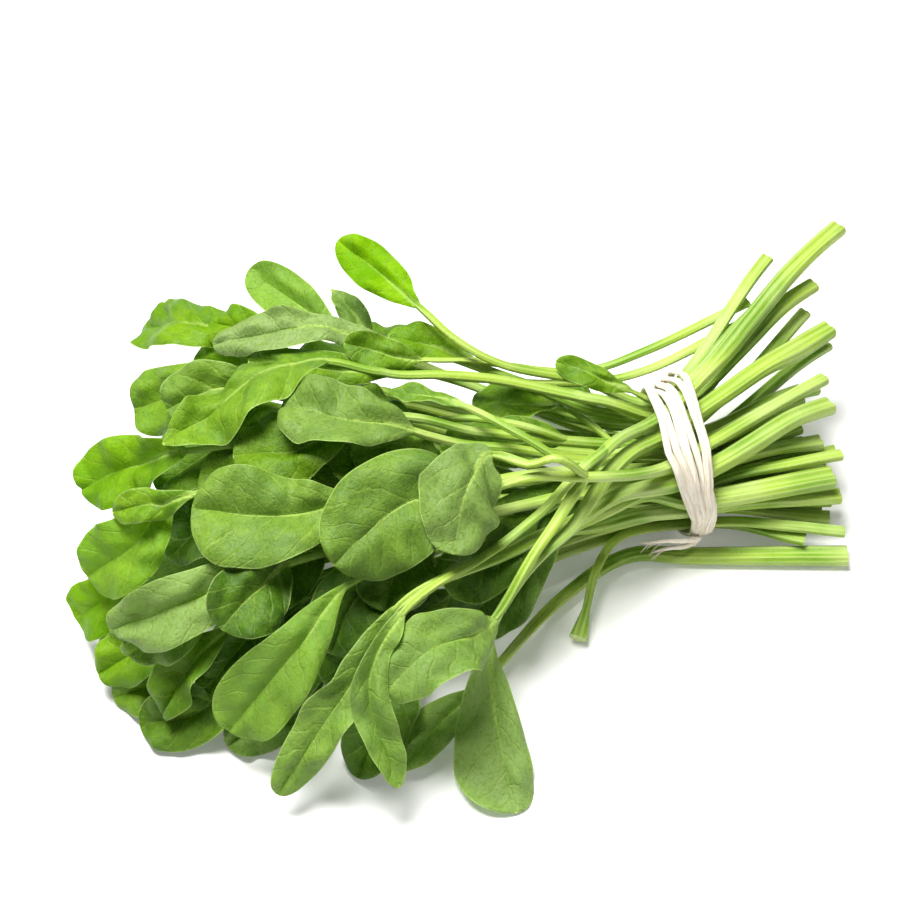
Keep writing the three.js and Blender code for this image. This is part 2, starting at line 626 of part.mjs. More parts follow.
/** Closed solid over rings; a closed one joins its last ring to its first. */
function loftSolid(rings, closed = false) {
  const n = rings[0].length;
  const points = rings.flat();
  const triangles = [];
  const at = (i, k) => (i % rings.length) * n + (k % n);
  const quads = closed ? rings.length : rings.length - 1;
  for (let i = 0; i < quads; i++) {
    for (let k = 0; k < n; k++) {
      const [a, b, c, d] = [at(i, k), at(i, k + 1), at(i + 1, k + 1), at(i + 1, k)];
      const upper = k < n / 2;
      triangles.push(...(upper ? [a, c, b, a, d, c] : [a, d, b, b, d, c]));
    }
  }
  if (!closed) {
    const last = rings.length - 1;
    for (let k = 1; k + 1 < n; k++) {
      triangles.push(at(0, 0), at(0, k), at(0, k + 1));
      triangles.push(at(last, 0), at(last, k + 1), at(last, k));
    }
  }
  const mesh = (tri) => new wasm.Mesh({
    numProp: 3,
    vertProperties: Float32Array.from(points.flatMap((p) => p.toArray())),
    triVerts: Uint32Array.from(tri),
  });
  const flipped = [];
  for (let t = 0; t < triangles.length; t += 3) {
    flipped.push(triangles[t], triangles[t + 2], triangles[t + 1]);
  }
  const solid = new wasm.Manifold(mesh(triangles));
  return solid.volume() > 0 ? solid : new wasm.Manifold(mesh(flipped));
}

/** A named mesh of a solid. */
function meshOf(solid, name, color, roughness) {
  const { vertProperties, triVerts, numProp } = solid.getMesh();
  const geometry = new THREE.BufferGeometry();
  const positions = new Float32Array((vertProperties.length / numProp) * 3);
  for (let i = 0; i < positions.length / 3; i++) {
    positions.set(vertProperties.subarray(i * numProp, i * numProp + 3), i * 3);
  }
  geometry.setAttribute("position", new THREE.BufferAttribute(positions, 3));
  geometry.setIndex(new THREE.BufferAttribute(Uint32Array.from(triVerts), 1));
  geometry.computeVertexNormals();
  const mesh = new THREE.Mesh(geometry, new THREE.MeshStandardMaterial({ color, roughness, metalness: 0 }));
  mesh.name = name;
  return mesh;
}

// The tie.
/** Angle of one of the evenly spread directions round the stalks. */
const directionAngle = (i) => (2 * Math.PI * i) / TIE.directions;

/** How far the stalks reach from the tie's middle in every direction, slice by slice along X. */
function stalkReach(lofts) {
  const [cy, cz] = TIE.centre;
  const slices = Array.from({ length: 2 * TIE.slices }, () => new Float64Array(TIE.directions));
  lofts.forEach((rings) => eachSample(rings, (x, y, z) => {
    const slice = slices[Math.floor(x / TIE.slice) + TIE.slices];
    if (slice && Math.hypot(y - cy, z - cz) > TIE.core) {
      for (let i = 0; i < TIE.directions; i++) {
        const a = directionAngle(i);
        slice[i] = Math.max(slice[i], (y - cy) * Math.cos(a) + (z - cz) * Math.sin(a));
      }
    }
  }));
  return slices;
}

/** Distance from the tie's middle to a strand that passes clear of the stalks near x. */
function strandReach(slices, x, angle) {
  const at = Math.floor(x / TIE.slice) + TIE.slices;
  let reach = Infinity;
  for (let i = 0; i < TIE.directions; i++) {
    const facing = Math.cos(angle - directionAngle(i));
    if (facing > 0.15) {
      const out = Math.max(...slices.slice(at - 1, at + 2).map((slice) => slice[i]));
      reach = Math.min(reach, (out + GAP + 1.2 * TIE.halfThickness) / facing);
    }
  }
  return reach;
}

/** Flat cross-sections along a line in the tie, pressed flat on the table. */
function strandRings(points, scales, closed) {
  const n = 6;
  const last = points.length - 1;
  return points.map((p, i) => {
    const before = points[closed ? (i + last) % points.length : Math.max(i - 1, 0)];
    const after = points[closed ? (i + 1) % points.length : Math.min(i + 1, last)];
    const along = after.clone().sub(before).normalize();
    const wide = new THREE.Vector3(closed ? 1 : 0, 0, closed ? 0 : 1);
    const thick = wide.clone().cross(along).normalize();
    wide.copy(along).cross(thick);
    return Array.from({ length: n }, (_, k) => {
      const a = (2 * Math.PI * k) / n;
      const q = p.clone();
      q.addScaledVector(wide, scales[i] * TIE.halfWidth * Math.cos(a));
      q.addScaledVector(thick, scales[i] * TIE.halfThickness * Math.sin(a));
      q.z = Math.max(q.z, 0);
      return q;
    });
  });
}

/** The strands round the stalks and their two short ends. */
function makeTie(lofts) {
  const [cy, cz] = TIE.centre;
  const slices = stalkReach(lofts);
  const angles = Array.from({ length: TIE_STATIONS }, (_, i) => (360 * i) / TIE_STATIONS - 90);
  const pieces = [];
  TIE.places.forEach((across, j) => {
    const points = angles.map((degrees) => {
      const a = THREE.MathUtils.degToRad(degrees);
      const middle = interpolate(degrees, BAND.angle, BAND.middle);
      const half = interpolate(degrees, BAND.angle, BAND.half);
      const place = across + TIE.weave * Math.sin(2 * a + 2.1 * j);
      const x = middle + half * place;
      const near = [a - TIE_TURN / 2, a, a + TIE_TURN / 2];
      const r = Math.max(...near.map((b) => strandReach(slices, x, b))) + (j % 2 ? TIE.step : 0);
      const z = cz + r * Math.sin(a);
      const pressed = z < 2 * TIE.halfThickness ? TIE.press * TIE.halfThickness : z;
      return new THREE.Vector3(x, cy + r * Math.cos(a), pressed);
    });
    const scales = angles.map((degrees) => 1 + 0.12 * Math.sin(degrees / 19 + j));
    scales[scales.length - 1] = scales[0];
    pieces.push(loftSolid(strandRings(points, scales, true), true));
  });
  TAILS.forEach((points) => {
    const { line } = smoothLine(points);
    const places = line.filter((_, i) => i % 8 === 0);
    const scales = places.map((_, i) => 1 - 0.4 * (i / (places.length - 1)));
    pieces.push(loftSolid(strandRings(places, scales, false)));
  });
  return pieces.reduce((all, next) => all.add(next));
}

// The bunch.
/** Colour of a stem, from how bright and how silvery its first leaf is. */
function stemColour(form) {
  const colour = new THREE.Color(DARK_GREEN).lerp(new THREE.Color(BRIGHT_GREEN), form.bright);
  return colour.lerp(new THREE.Color(SILVER_GREEN), form.pale);
}

const bunch = new THREE.Group();
bunch.name = "spinach_bunch";
const pile = new Pile();
const tied = [];
STEMS.forEach((one, order) => {
  const lofts = layStem(one, order, pile);
  const solid = lofts.map((rings) => loftSolid(rings)).reduce((all, next) => all.add(next));
  bunch.add(meshOf(solid, one.name, stemColour(one.leaves[0]), LEAF_ROUGHNESS));
  if (!LOOSE.includes(one.name)) {
    tied.push(lofts[0]);
  }
});
bunch.add(meshOf(makeTie(tied), "tie", TIE_COLOUR, TIE_ROUGHNESS));

export default bunch;
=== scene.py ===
"""A bunch of fresh spinach, lying on its side on a pale floor and tied round its stalks.

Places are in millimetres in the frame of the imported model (+X to the cut ends, +Z up, the
origin on the floor under the tie) and become metres when a mesh is made.
"""
import json
import math
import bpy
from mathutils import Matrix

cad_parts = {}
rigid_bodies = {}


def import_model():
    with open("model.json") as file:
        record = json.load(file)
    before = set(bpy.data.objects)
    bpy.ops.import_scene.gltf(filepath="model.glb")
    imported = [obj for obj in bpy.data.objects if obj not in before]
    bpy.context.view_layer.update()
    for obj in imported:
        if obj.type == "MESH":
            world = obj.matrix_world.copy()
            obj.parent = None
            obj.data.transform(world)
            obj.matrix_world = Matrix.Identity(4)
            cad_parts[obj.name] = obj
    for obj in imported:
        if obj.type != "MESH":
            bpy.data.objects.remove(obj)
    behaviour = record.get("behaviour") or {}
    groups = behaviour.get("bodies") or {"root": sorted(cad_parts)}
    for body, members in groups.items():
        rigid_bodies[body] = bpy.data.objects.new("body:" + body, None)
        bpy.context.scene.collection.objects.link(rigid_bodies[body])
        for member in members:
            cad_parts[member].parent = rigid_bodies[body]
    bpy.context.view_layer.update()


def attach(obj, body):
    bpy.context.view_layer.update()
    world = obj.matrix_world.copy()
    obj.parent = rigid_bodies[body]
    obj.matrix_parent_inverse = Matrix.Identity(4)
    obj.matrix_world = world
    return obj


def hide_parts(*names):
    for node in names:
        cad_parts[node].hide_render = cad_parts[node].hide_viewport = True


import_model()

from types import SimpleNamespace as Values

import bpy
import numpy as np
from mathutils import Vector

MM = 0.001
TURN = 2 * math.pi

# The photograph's view, in metres.
VIEW_FROM = (-0.22595, -0.53032, 0.71944)
LOOK_AT = (-0.086, 0.031, 0.030)
LENS = 87.8

# Light and floor, in metres.
WORLD_LIGHT = 0.13
KEY = dict(place=(-0.3, 0.16, 1.15), size=0.5, power=27, tint=(1, 0.99, 0.97))
FILL = dict(place=(0.7, -0.9, 0.7), size=0.8, power=2.5, tint=(1, 1, 1))
LAMP_TARGET = (-0.08, 0, 0.03)
FLOOR_HALF = 4.0
FLOOR_DROP = 0.0004
FLOOR_GLOW = 0.14

# Driving dimensions, in millimetres.
GAP = 0.35  # air left between one stem and the next
CAD_THICKNESS = 0.8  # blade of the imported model
BLADE_THICKNESS = 0.4  # blade of the visible surface
TIP_RIB = 0.35  # radius of the midrib at a leaf's tip
TIP_HALF_WIDTH = 0.9
FULL_BLADE = 3  # half width from which a section is all blade
FULL_WAVE = 6  # half width from which a margin waves fully
STALK_CROWN = 0.75  # height of a plain stalk's section over its middle, in radii
STALK_CORNER = 0.35
CUT_FLARE = 1.2  # how much thicker a stalk is at its cut end than in the tie
BASE_RIB = 1.6  # radius of a stalk where its blade begins, at most
BASE_SHARE = 0.6  # and as a share of the stalk's radius in the tie
BRANCH_AT = 40  # where further leaves leave their stalk, from the tie on
BRANCH_STEP = 8
BRANCH_RUN = 12
BRANCH_RISE = 0.6
BRANCH_RADIUS = 0.62
BRANCH_RIB = 1.4
BRANCH_SHARE = 0.5

# The height map of the pile, and how far a lift spreads.
PILE_CELL = 0.5  # square of the height map that the leaves are laid on
PILE_CORNER = np.array([-290.0, -170.0])
PILE_SHAPE = (840, 720)
SAMPLE_STEP = 0.42  # spacing of the points that feel for the pile
SETTLE_PASSES = 6
ENOUGH = 0.01
LOCAL_REACH = 14  # how far a lifted place raises the stem on either side of it
REACH_GROWTH = 1.3  # and how much further for every millimetre of lift
SIDE_SLOPE = 0.55  # steepest bend of a blade across its width
NARROW = 2.5  # half width under which a stem is lifted as a whole
ROOT_CLEARING = 1.2  # round a stalk, where its own further leaves may begin
ROOT_SHARE = 0.4
STALK_POINTS = 200

# Stations of the plain form.
STALK_STATION = 21
BLADE_STATIONS = np.array([0, 0.1, 0.24, 0.4, 0.57, 0.73, 0.87, 0.96, 1])
COLUMNS = np.array([-1, 0, 1])  # margin, midrib, margin
PLAIN_RING = 6
TURN_LENGTH = 40  # stretch of stalk in which a leaf turns to face its way
ROLL_LENGTH = 30
SEED_TURN = 0.618
WAVE_PHASES = (0.37, 0.71)

# The heap: its round end, its neck and the ridge along its top.
HEAP = Values(x=-142, y=18, length=108, half_width=97, height=80, shoulder=0.7, crown=0.8)
NECK_X = [-142, -105, -60, -30, 0, 100]
NECK_HALF_WIDTH = [97, 84, 60, 43, 32, 32]
RIDGE_X = [-142, -60, 0]
RIDGE_HEIGHT = [80, 75, 66]
MIDDLE_X = [-260, -142, -60, 0]
MIDDLE_Y = [4, HEAP.y, 9, 0]
SLOPE_REACH = 8  # distance over which the heap's slope is taken
SLOPE_SHARE = Values(left=0.6, right=0.4, back=0.15)  # how much of it a blade copies
STEEPEST = 0.9

# How the cut ends fan out: rise across and up for a place in the tie, and their lengths.
FAN = Values(spread=1.44, shift=-4, level=0.92, tilt=0.12, lowest=3.5, nearest=54, step=37, uneven=17)
FAN_HEIGHT = [4, 16, 27, 38, 50]
FAN_SHIFT = [-10, 0, 13, 30, 43]

# Fineness of the visible surface, and how it is laid on the ones below.
HALF_COLUMNS = np.array([0, 0.05, 0.12, 0.2, 0.3, 0.4, 0.51, 0.62, 0.74, 0.86, 0.965, 1])
FINE_BLADE = 56
FINE_STALK_STEP = 4.0
TIP_CROWDING = 0.6
WHOLE_BLADE = 0.99
ROOT_ROWS = 3
DRAPE_PASSES = 30
DRAPE_FALL = 0.985
SHARP_ANGLE = 55

# Relief of a leaf: how high each form is, its turns along the blade, its slant across it.
RELIEF_SEED = 11
FULL_RELIEF = 9  # half width from which a blade has its full relief
SCALLOP = Values(size=0.012, turns=3.2, slant=2)
RUFFLE = Values(turns=1.9, spread=0.5, finer=2.3, share=0.3)
VEIN = Values(step=9.0, slant=0.8, curve=0.01)
QUILT = Values(size=0.4, reach=1.5)
SWELL = Values(size=1.7, turns=1.3, slant=2.2)
PUCKER = Values(count=7, size=0.5, shortest=8, longest=20, usual=14, reach=2.5)
RIB = Values(spread=1.3, least=0.3, above=0.45, below=0.95)
GROOVE = Values(crown=0.8, depth=0.3, width=0.3)  # on the upper side of a stalk, in radii
CUT_FACE = 0.86  # share of an end that is cut face inside its lip
CUT_LIP = 0.35
TIP_LIP = 0.2
STALK_MARGIN = 5  # what a stalk reads as its distance from a margin

# Directions a blade may face: the heap's own slope unless one of these is given.
OUTWARD = (-0.2, -0.55, 0.8)
UPWARD = (-0.1, -0.3, 0.9)
FORWARD = (-0.3, -0.6, 0.7)

# A leaf's pale share lays a grey-green film on it: painted sheen of light on its top, partly a paler
# underside turned up.
FORM = dict(via=[], roll=(0, 0), cup=(25, 12), skew=0, wave=1.5, waves=2.5, shape=(0.9, 0.5),
            look=None, root=None, base_rib=None, tip_rib=TIP_RIB, bulge=0.14, ruffle=1.1, pale=0.05)


def leaf(base, middle, tip, width, bright, **form):
    """One leaf: where its blade begins, its middle and its tip, its width and brightness. The brightness
    is painted light on leaves that light shines through and painted shade on inner leaves, partly each
    leaf's own tone.
    """
    return Values(ends=[base, middle, tip], width=width, bright=bright, **{**FORM, **form})


def stem(name, radius, place, *leaves, cut=None):
    """One stem: radius of its stalk, place (y, z) where it passes the tie, leaves, cut end."""
    return Values(name=name, radius=radius, place=place, leaves=leaves, cut=cut)


# Every stem, from the table up: a later one lies on the earlier ones.
STEMS = [
    stem("low_left", 2.7, (1.5, 5.7),
         leaf((-128, 16, 4), (-165, 30, 2), (-205, 42, 1), 44, 0.15),
         leaf((-122, -6, 5), (-160, -22, 3), (-198, -32, 2), 42, 0.1),
         leaf((-150, 6, 5), (-188, 8, 3), (-226, 8, 1), 34, 0.15)),
    stem("low_back", 2.7, (8, 5.7),
         leaf((-98, 46, 5), (-136, 66, 2), (-172, 82, 1), 34, 0.3),
         leaf((-80, 60, 7), (-100, 78, 4), (-122, 96, 1), 30, 0.3)),
    stem("low_front", 2.7, (-4.5, 5.7),
         leaf((-95, -22, 6), (-125, -42, 4), (-154, -62, 1), 38, 0.05),
         leaf((-62, 22, 6), (-100, 42, 5), (-138, 52, 3), 42, 0.1, root=30)),
    stem("back_neck", 2.3, (22, 12),
         leaf((-14, 34, 18), (-32, 50, 18), (-54, 62, 16), 38, 0.3)),
    stem("table_stalk", 3.7, (-26, 4),
         leaf((-100, -71, 9), (-118, -83, 8), (-139, -96, 4), 21, 0.6,
              via=[(-23, -20, 4), (-57, -36, 6)], pale=0.6), cut=(63, -42, 4.2)),
    stem("front_edge", 2.4, (-11, 7.5),
         leaf((-154, -52, 16), (-179, -63, 8), (-199, -70, 2), 24, 0.2, pale=0.3), cut=(47, -34, 6)),
    stem("front_stub", 2.1, (-17.5, 11),
         leaf((-49, -45, 8), (-52, -50, 6), (-55, -55, 4.5), 0, 0,
              via=[(-26, -16, 11), (-40, -29, 11)], base_rib=1.7, tip_rib=3.8), cut=(63, -36, 6)),
    stem("left_edge", 2.4, (6, 11.8),
         leaf((-203, -40, 20), (-219, -39, 10), (-238, -38, 3), 22, 0.45),
         leaf((-211, -11, 30), (-225, -18, 16), (-240, -18, 5), 22, 0.6)),
    stem("front_low", 2.4, (-12, 11.8),
         leaf((-185, -45, 18), (-207, -58, 12), (-230, -52, 3), 26, 0.2, cup=(30, 14)),
         leaf((-119, -53, 22), (-136, -73, 16), (-153, -96, 2), 26, 0.1)),
    stem("inner_front", 2.7, (0, 11.8),
         leaf((-145, -28, 30), (-165, -47, 23), (-182, -65, 12), 28, 0.05, cup=(34, 12)),
         leaf((-165, -31, 41), (-183, -44, 32), (-204, -55, 17), 28, 0.1, cup=(30, 16))),
    stem("left_curl", 2.4, (-6, 11.8),
         leaf((-188, -44, 40), (-206, -50, 29), (-220, -58, 13), 22, 0.45, roll=(-10, -25),
              cup=(40, 30)),
         leaf((-112, -26, 37), (-141, -48, 30), (-157, -66, 21), 30, 0.05, cup=(36, 20))),
    stem("left_rim", 2.4, (12, 11.8),
         leaf((-203, -24, 34), (-223, -30, 22), (-242, -30, 10), 25, 0.75),
         leaf((-218, 2, 35), (-233, -7, 25), (-247, -3, 12), 26, 0.9, look=OUTWARD)),
    stem("left_fold", 2.4, (-7.5, 17.9),
         leaf((-185, -28, 46), (-208, -39, 42), (-229, -41, 28), 25, 0.5, roll=(10, 20), cup=(38, 24),
              pale=0.2),
         leaf((-167, 16, 52), (-189, 6, 46), (-207, -3, 38), 30, 0.1)),
    stem("left_end", 2.7, (5, 17.9),
         leaf((-200, 3, 66), (-219, -7, 56), (-239, -4, 39), 31, 0.85, look=OUTWARD, pale=0.25),
         leaf((-150, 36, 68), (-178, 24, 68), (-207, 13, 62), 34, 0.3, cup=(30, 14))),
    stem("inner_slope", 2.5, (-13.5, 17.9),
         leaf((-144, -12, 54), (-163, -24, 51), (-184, -34, 45), 34, 0.1, cup=(34, 10)),
         leaf((-121, -30, 44), (-144, -46, 41), (-155, -59, 31), 34, 0.05, cup=(30, 20))),
    stem("left_glossy", 2.7, (-1.5, 17.9),
         leaf((-171, -30, 60), (-204, -41, 57), (-234, -36, 38), 28, 0.7, shape=(0.8, 0.5),
              roll=(0, 15), cup=(30, 20), pale=0.9),
         leaf((-138, -2, 65), (-165, -1, 72), (-192, -1, 68), 32, 0.3)),
    stem("front_dark", 3, (-20, 19.6),
         leaf((-164, -34, 62), (-178, -44, 61), (-194, -55, 51), 30, 0, shape=(0.8, 0.5)),
         cut=(64, -24, 12)),
    stem("left_bright", 2.4, (11, 17.9),
         leaf((-192, -7, 74), (-209, -3, 70), (-225, 2, 62), 14, 0.6, look=OUTWARD),
         leaf((-193, 12, 74), (-214, 25, 64), (-235, 31, 49), 28, 0.85, look=OUTWARD, shape=(0.7, 0.4))),
    stem("back_low", 2.5, (23, 18.5),
         leaf((-85, 56, 48), (-115, 72, 42), (-148, 84, 34), 32, 0.5),
         leaf((-66, 58, 45), (-86, 74, 42), (-110, 90, 36), 28, 0.5)),
    stem("left_back", 2.5, (17, 17.9),
         leaf((-160, 44, 72), (-186, 52, 67), (-209, 59, 59), 30, 0.6, look=OUTWARD, shape=(0.8, 0.35),
              pale=0.15),
         leaf((-157, 60, 64), (-168, 67, 65), (-183, 69, 63), 20, 0.6, look=OUTWARD)),
    stem("left_back_inner", 2.5, (10, 24.4),
         leaf((-160, 37, 77), (-178, 41, 77), (-197, 41, 69), 27, 0.5, look=OUTWARD, shape=(0.8, 0.4),
              pale=0.3)),
    stem("back_bright", 2.5, (17, 24.4),
         leaf((-158, 75, 57), (-181, 86, 58), (-197, 112, 50), 31, 0.58, look=UPWARD,
              shape=(0.75, 0.5), wave=0.8, pale=0),
         leaf((-142, 56, 65), (-155, 64, 68), (-172, 81, 61), 22, 0.8, look=OUTWARD)),
    stem("inner_top", 2.5, (-7, 24.4),
         leaf((-103, -23, 55), (-122, -35, 52), (-132, -53, 39), 32, 0.1, cup=(30, 10)),
         leaf((-125, -14, 63), (-144, -15, 70), (-166, -21, 72), 32, 0.25)),
    stem("thick_front", 4.2, (-22, 28),
         leaf((-56, -29, 39), (-82, -41, 33), (-103, -51, 20), 32, 0.05, via=[(-21, -20, 38)],
              pale=0.15), cut=(61, -20, 22)),
    stem("top_small", 2.5, (-1, 24.4),
         leaf((-108, -12, 67), (-126, -9, 76), (-143, -7, 79), 20, 0.5, cup=(35, 20)),
         leaf((-100, -9, 69), (-117, -6, 79), (-134, -7, 82), 22, 0.5, pale=0.2)),
    stem("back_pale", 2.5, (24, 27),
         leaf((-119, 75, 62), (-135, 93, 66), (-152, 111, 72), 21, 0.75, look=OUTWARD, pale=0.5),
         leaf((-109, 73, 60), (-114, 86, 63), (-120, 98, 66), 12, 0.25, look=UPWARD, shape=(0.5, 0.7),
              pale=0.4), cut=(58, 62, 48)),
    stem("neck_back", 2.5, (5, 28),
         leaf((-43, 7, 52), (-72, 6, 55), (-96, 6, 58), 28, 0.2),
         leaf((-36, 27, 45), (-54, 31, 48), (-76, 34, 52), 24, 0.45, root=10, cup=(30, 10)),
         cut=(82, 44, 36)),
    stem("neck_front", 2.5, (-13, 24.4),
         leaf((-40, -14, 48), (-61, -22, 48), (-90, -32, 48), 26, 0.15),
         leaf((-65, -28, 50), (-88, -40, 47), (-110, -49, 47), 28, 0.1, root=30)),
    stem("top_dark", 2.7, (6.5, 30.9),
         leaf((-125, 0, 83), (-152, -1, 83), (-177, 4, 80), 30, 0.3),
         leaf((-102, 17, 69), (-124, 24, 72), (-149, 38, 74), 28, 0.3)),
    stem("top_round", 2.9, (-6, 30.9),
         leaf((-135, -25, 79), (-164, -25, 79), (-196, -13, 75), 40, 0.5, shape=(0.9, 0.45), skew=-0.1,
              bulge=0.18, ruffle=2.4, pale=0.35)),
    stem("top_grey", 2.9, (0, 31),
         leaf((-109, -6, 87), (-133, -3, 93), (-156, 13, 92), 30, 0.42, shape=(0.8, 0.45), pale=0.5)),
    stem("front_large", 2.9, (-12, 30.9),
         leaf((-143, -48, 62), (-167, -66, 54), (-198, -77, 24), 30, 0.9, shape=(1.1, 0.4),
              cup=(30, 6), pale=0.55)),
    stem("back_long", 1.9, (41, 45),
         leaf((-105, 37, 75), (-136, 41, 81), (-162, 55, 74), 18, 0.4, via=[(-27, 38, 48)],
              look=OUTWARD), cut=(44, 52, 50)),
    stem("front_rolled", 3.6, (-19, 36),
         leaf((-128, -63, 62), (-155, -84, 43), (-185, -101, 12), 19, 0.55,
              via=[(-41, -29, 49), (-77, -43, 54)], shape=(0.7, 0.45), roll=(0, 30), pale=0.45),
         cut=(68, 7, 40)),
    stem("back_silver", 2.7, (21, 37),
         leaf((-104, 51, 76), (-136, 57, 86), (-174, 66, 75), 19, 0.5, look=UPWARD, shape=(0.8, 0.45),
              pale=1)),
    stem("back_pair", 1.9, (46, 51),
         leaf((-75, 40, 72), (-90, 47, 77), (-106, 53, 79), 16, 0.6, via=[(-26, 41, 52)], look=UPWARD),
         leaf((-95, 37, 80), (-110, 40, 84), (-125, 46, 86), 16, 0.4, look=OUTWARD), cut=(50, 60, 54)),
    stem("top_lance", 2.5, (2, 37),
         leaf((-84, 5, 84), (-98, 17, 81), (-113, 26, 79), 9, 0.6, via=[(-49, -18, 68), (-68, -9, 80)],
              pale=0.2), cut=(73, 52, 50)),
    stem("top_twisted", 2.8, (18, 34),
         leaf((-134, 32, 84), (-166, 27, 87), (-202, 14, 79), 29, 0.6,
              via=[(-29, 20, 54), (-55, 27, 66), (-86, 29, 78), (-118, 30, 84)], shape=(0.7, 0.7),
              skew=-0.25, roll=(-10, 20), cup=(10, 20), wave=3, pale=0.15), cut=(77, 57, 60)),
    stem("back_raised", 2.4, (26, 42),
         leaf((-92, 54, 92), (-103, 74, 94), (-117, 93, 98), 19, 1,
              via=[(-29, 32, 56), (-65, 34, 74), (-82, 42, 85)], look=FORWARD, shape=(0.8, 0.5), pale=0),
         cut=(62, 73, 62)),
    stem("neck_small", 1.7, (20, 47),
         leaf((-12, 20, 56), (-26, 27, 59), (-41, 36, 60), 13, 0.5, look=OUTWARD), cut=(52, 50, 50)),
    stem("front_hanging", 3.7, (1, 42),
         leaf((-93, -63, 10), (-98, -95, 4), (-99, -124, 1), 30, 0.7,
              via=[(-36, -24, 56), (-62, -46, 42), (-81, -54, 24)], shape=(1, 0.45), skew=0.3,
              cup=(14, 4), pale=1), cut=(80, 42, 48)),
    stem("front_fork", 3.4, (8, 42),
         leaf((-93, -67, 47), (-117, -81, 40), (-141, -91, 27), 27, 0.65,
              via=[(-38, -20, 59), (-69, -48, 58)], shape=(0.6, 0.5), pale=0.65),
         leaf((-128, -68, 64), (-146, -87, 49), (-142, -115, 22), 17, 0.7,
              via=[(-67, -37, 60), (-95, -50, 62)], shape=(0.6, 0.5), cup=(40, 26), pale=0.6),
         cut=(94, 77, 70)),
    stem("top_broad", 2.8, (-13, 42),
         leaf((-91, -31, 76), (-119, -34, 84), (-150, -48, 72), 42, 0.3, via=[(-43, -33, 64)],
              shape=(0.6, 0.45), cup=(10, -12), bulge=0.2, ruffle=2.8, pale=0.25),
         leaf((-84, -24, 79), (-97, -38, 84), (-107, -57, 78), 32, 0.4, root=58, via=[(-70, -31, 72)],
              shape=(0.55, 0.5), cup=(-14, -20), bulge=0.2, ruffle=2.6, pale=0.6), cut=(68, 16, 36)),
]

# Stems that the tie does not hold.
LOOSE = ["table_stalk", "back_long", "back_pair"]


# Curves.
def unit(v):
    """Vectors divided by their own length."""
    return v / np.maximum(np.linalg.norm(v, axis=-1, keepdims=True), 1e-9)


def smooth_line(points, per=24):
    """Centripetal spline: a cubic between each two points, its slopes from the chords round it.

    Gives places on it, the length along it at each of them, and the length at each point.
    """
    p = np.asarray(points, float)
    p = np.vstack([2 * p[0] - p[1], p, 2 * p[-1] - p[-2]])
    out = []
    for i in range(1, len(p) - 2):
        p0, p1, p2, p3 = p[i - 1:i + 3]
        d0, d1, d2 = (np.linalg.norm(b - a) ** 0.5 for a, b in ((p0, p1), (p1, p2), (p2, p3)))
        t1 = ((p1 - p0) / d0 - (p2 - p0) / (d0 + d1) + (p2 - p1) / d1) * d1
        t2 = ((p2 - p1) / d1 - (p3 - p1) / (d1 + d2) + (p3 - p2) / d2) * d1
        t = np.linspace(0, 1, per, endpoint=False)[:, None]
        out.append(p1 + t1 * t + (3 * (p2 - p1) - 2 * t1 - t2) * t**2
                   + (2 * (p1 - p2) + t1 + t2) * t**3)
    line = np.vstack(out + [p[-2][None]])
    length = np.concatenate([[0], np.cumsum(np.linalg.norm(np.diff(line, axis=0), axis=1))])
    return Values(line=line, length=length, knots=length[::per])


def point_at(path, s):
    """Places on a path at given lengths, each on the straight between its two neighbours."""
    return np.stack([np.interp(s, path.length, path.line[:, k]) for k in range(3)], -1)


def rounded(s, at, values):
    """Cubic curve through values at given lengths, read at other lengths.

    Its slope at a value is that of the values on either side.
    """
    values = np.asarray(values, float)
    slope = np.gradient(values, at, axis=0)
    i = np.clip(np.searchsorted(at, s, side="right") - 1, 0, len(at) - 2)
    step = at[i + 1] - at[i]
    shape = (-1,) + (1,) * (values.ndim - 1)
    t = np.clip((s - at[i]) / step, 0, 1).reshape(shape)
    step = step.reshape(shape)
    return ((2 * t**3 - 3 * t**2 + 1) * values[i] + (t**3 - 2 * t**2 + t) * step * slope[i]
            + (3 * t**2 - 2 * t**3) * values[i + 1] + (t**3 - t**2) * step * slope[i + 1])


# The heap's form, which tilts the blades.
def heap_height(x, y):
    """Height of the heap: an elliptic dome at its left end, then a neck that narrows to the tie.

    It falls from the ridge as a power of one minus the square of the distance from the middle
    line, taken as a share of the half width.
    """
    t = np.clip((HEAP.x - x) / HEAP.length, 0, 1)
    end = np.sqrt(1 - t * t)
    width = np.where(t > 0, HEAP.half_width * end, np.interp(x, NECK_X, NECK_HALF_WIDTH))
    top = np.where(t > 0, HEAP.height * end ** HEAP.crown, np.interp(x, RIDGE_X, RIDGE_HEIGHT))
    middle = np.interp(x, MIDDLE_X, MIDDLE_Y)
    across = (y - middle) / np.maximum(width, 1e-3)
    return top * np.maximum(1 - across**2, 0) ** HEAP.shoulder


def heap_normal(p):
    """Direction that a blade faces: up, less a share of the heap's slope, least at the back."""
    e, x, y = SLOPE_REACH, p[:, 0], p[:, 1]
    gx = (heap_height(x + e, y) - heap_height(x - e, y)) / (2 * e)
    gy = (heap_height(x, y + e) - heap_height(x, y - e)) / (2 * e)
    gx = gx * np.where(gx > 0, SLOPE_SHARE.left, SLOPE_SHARE.right)
    gy = gy * np.where(gy < 0, SLOPE_SHARE.back, 1)
    k = np.minimum(1, STEEPEST / np.maximum(np.hypot(gx, gy), 1e-6))
    return unit(np.stack([-gx * k, -gy * k, np.ones_like(gx)], -1))


# The leaf's plain form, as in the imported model.
def outline(m, form):
    """Half width of a blade at a share m of its length: a power of m times one of 1 - m."""
    if not form.width:
        return np.zeros_like(m)
    rise, fall = form.shape
    widest = rise / (rise + fall)
    most = widest**rise * (1 - widest) ** fall
    half = form.width / 2 * m**rise * (1 - m) ** fall / most
    return np.where(m > 0, np.maximum(half, TIP_HALF_WIDTH), 0)


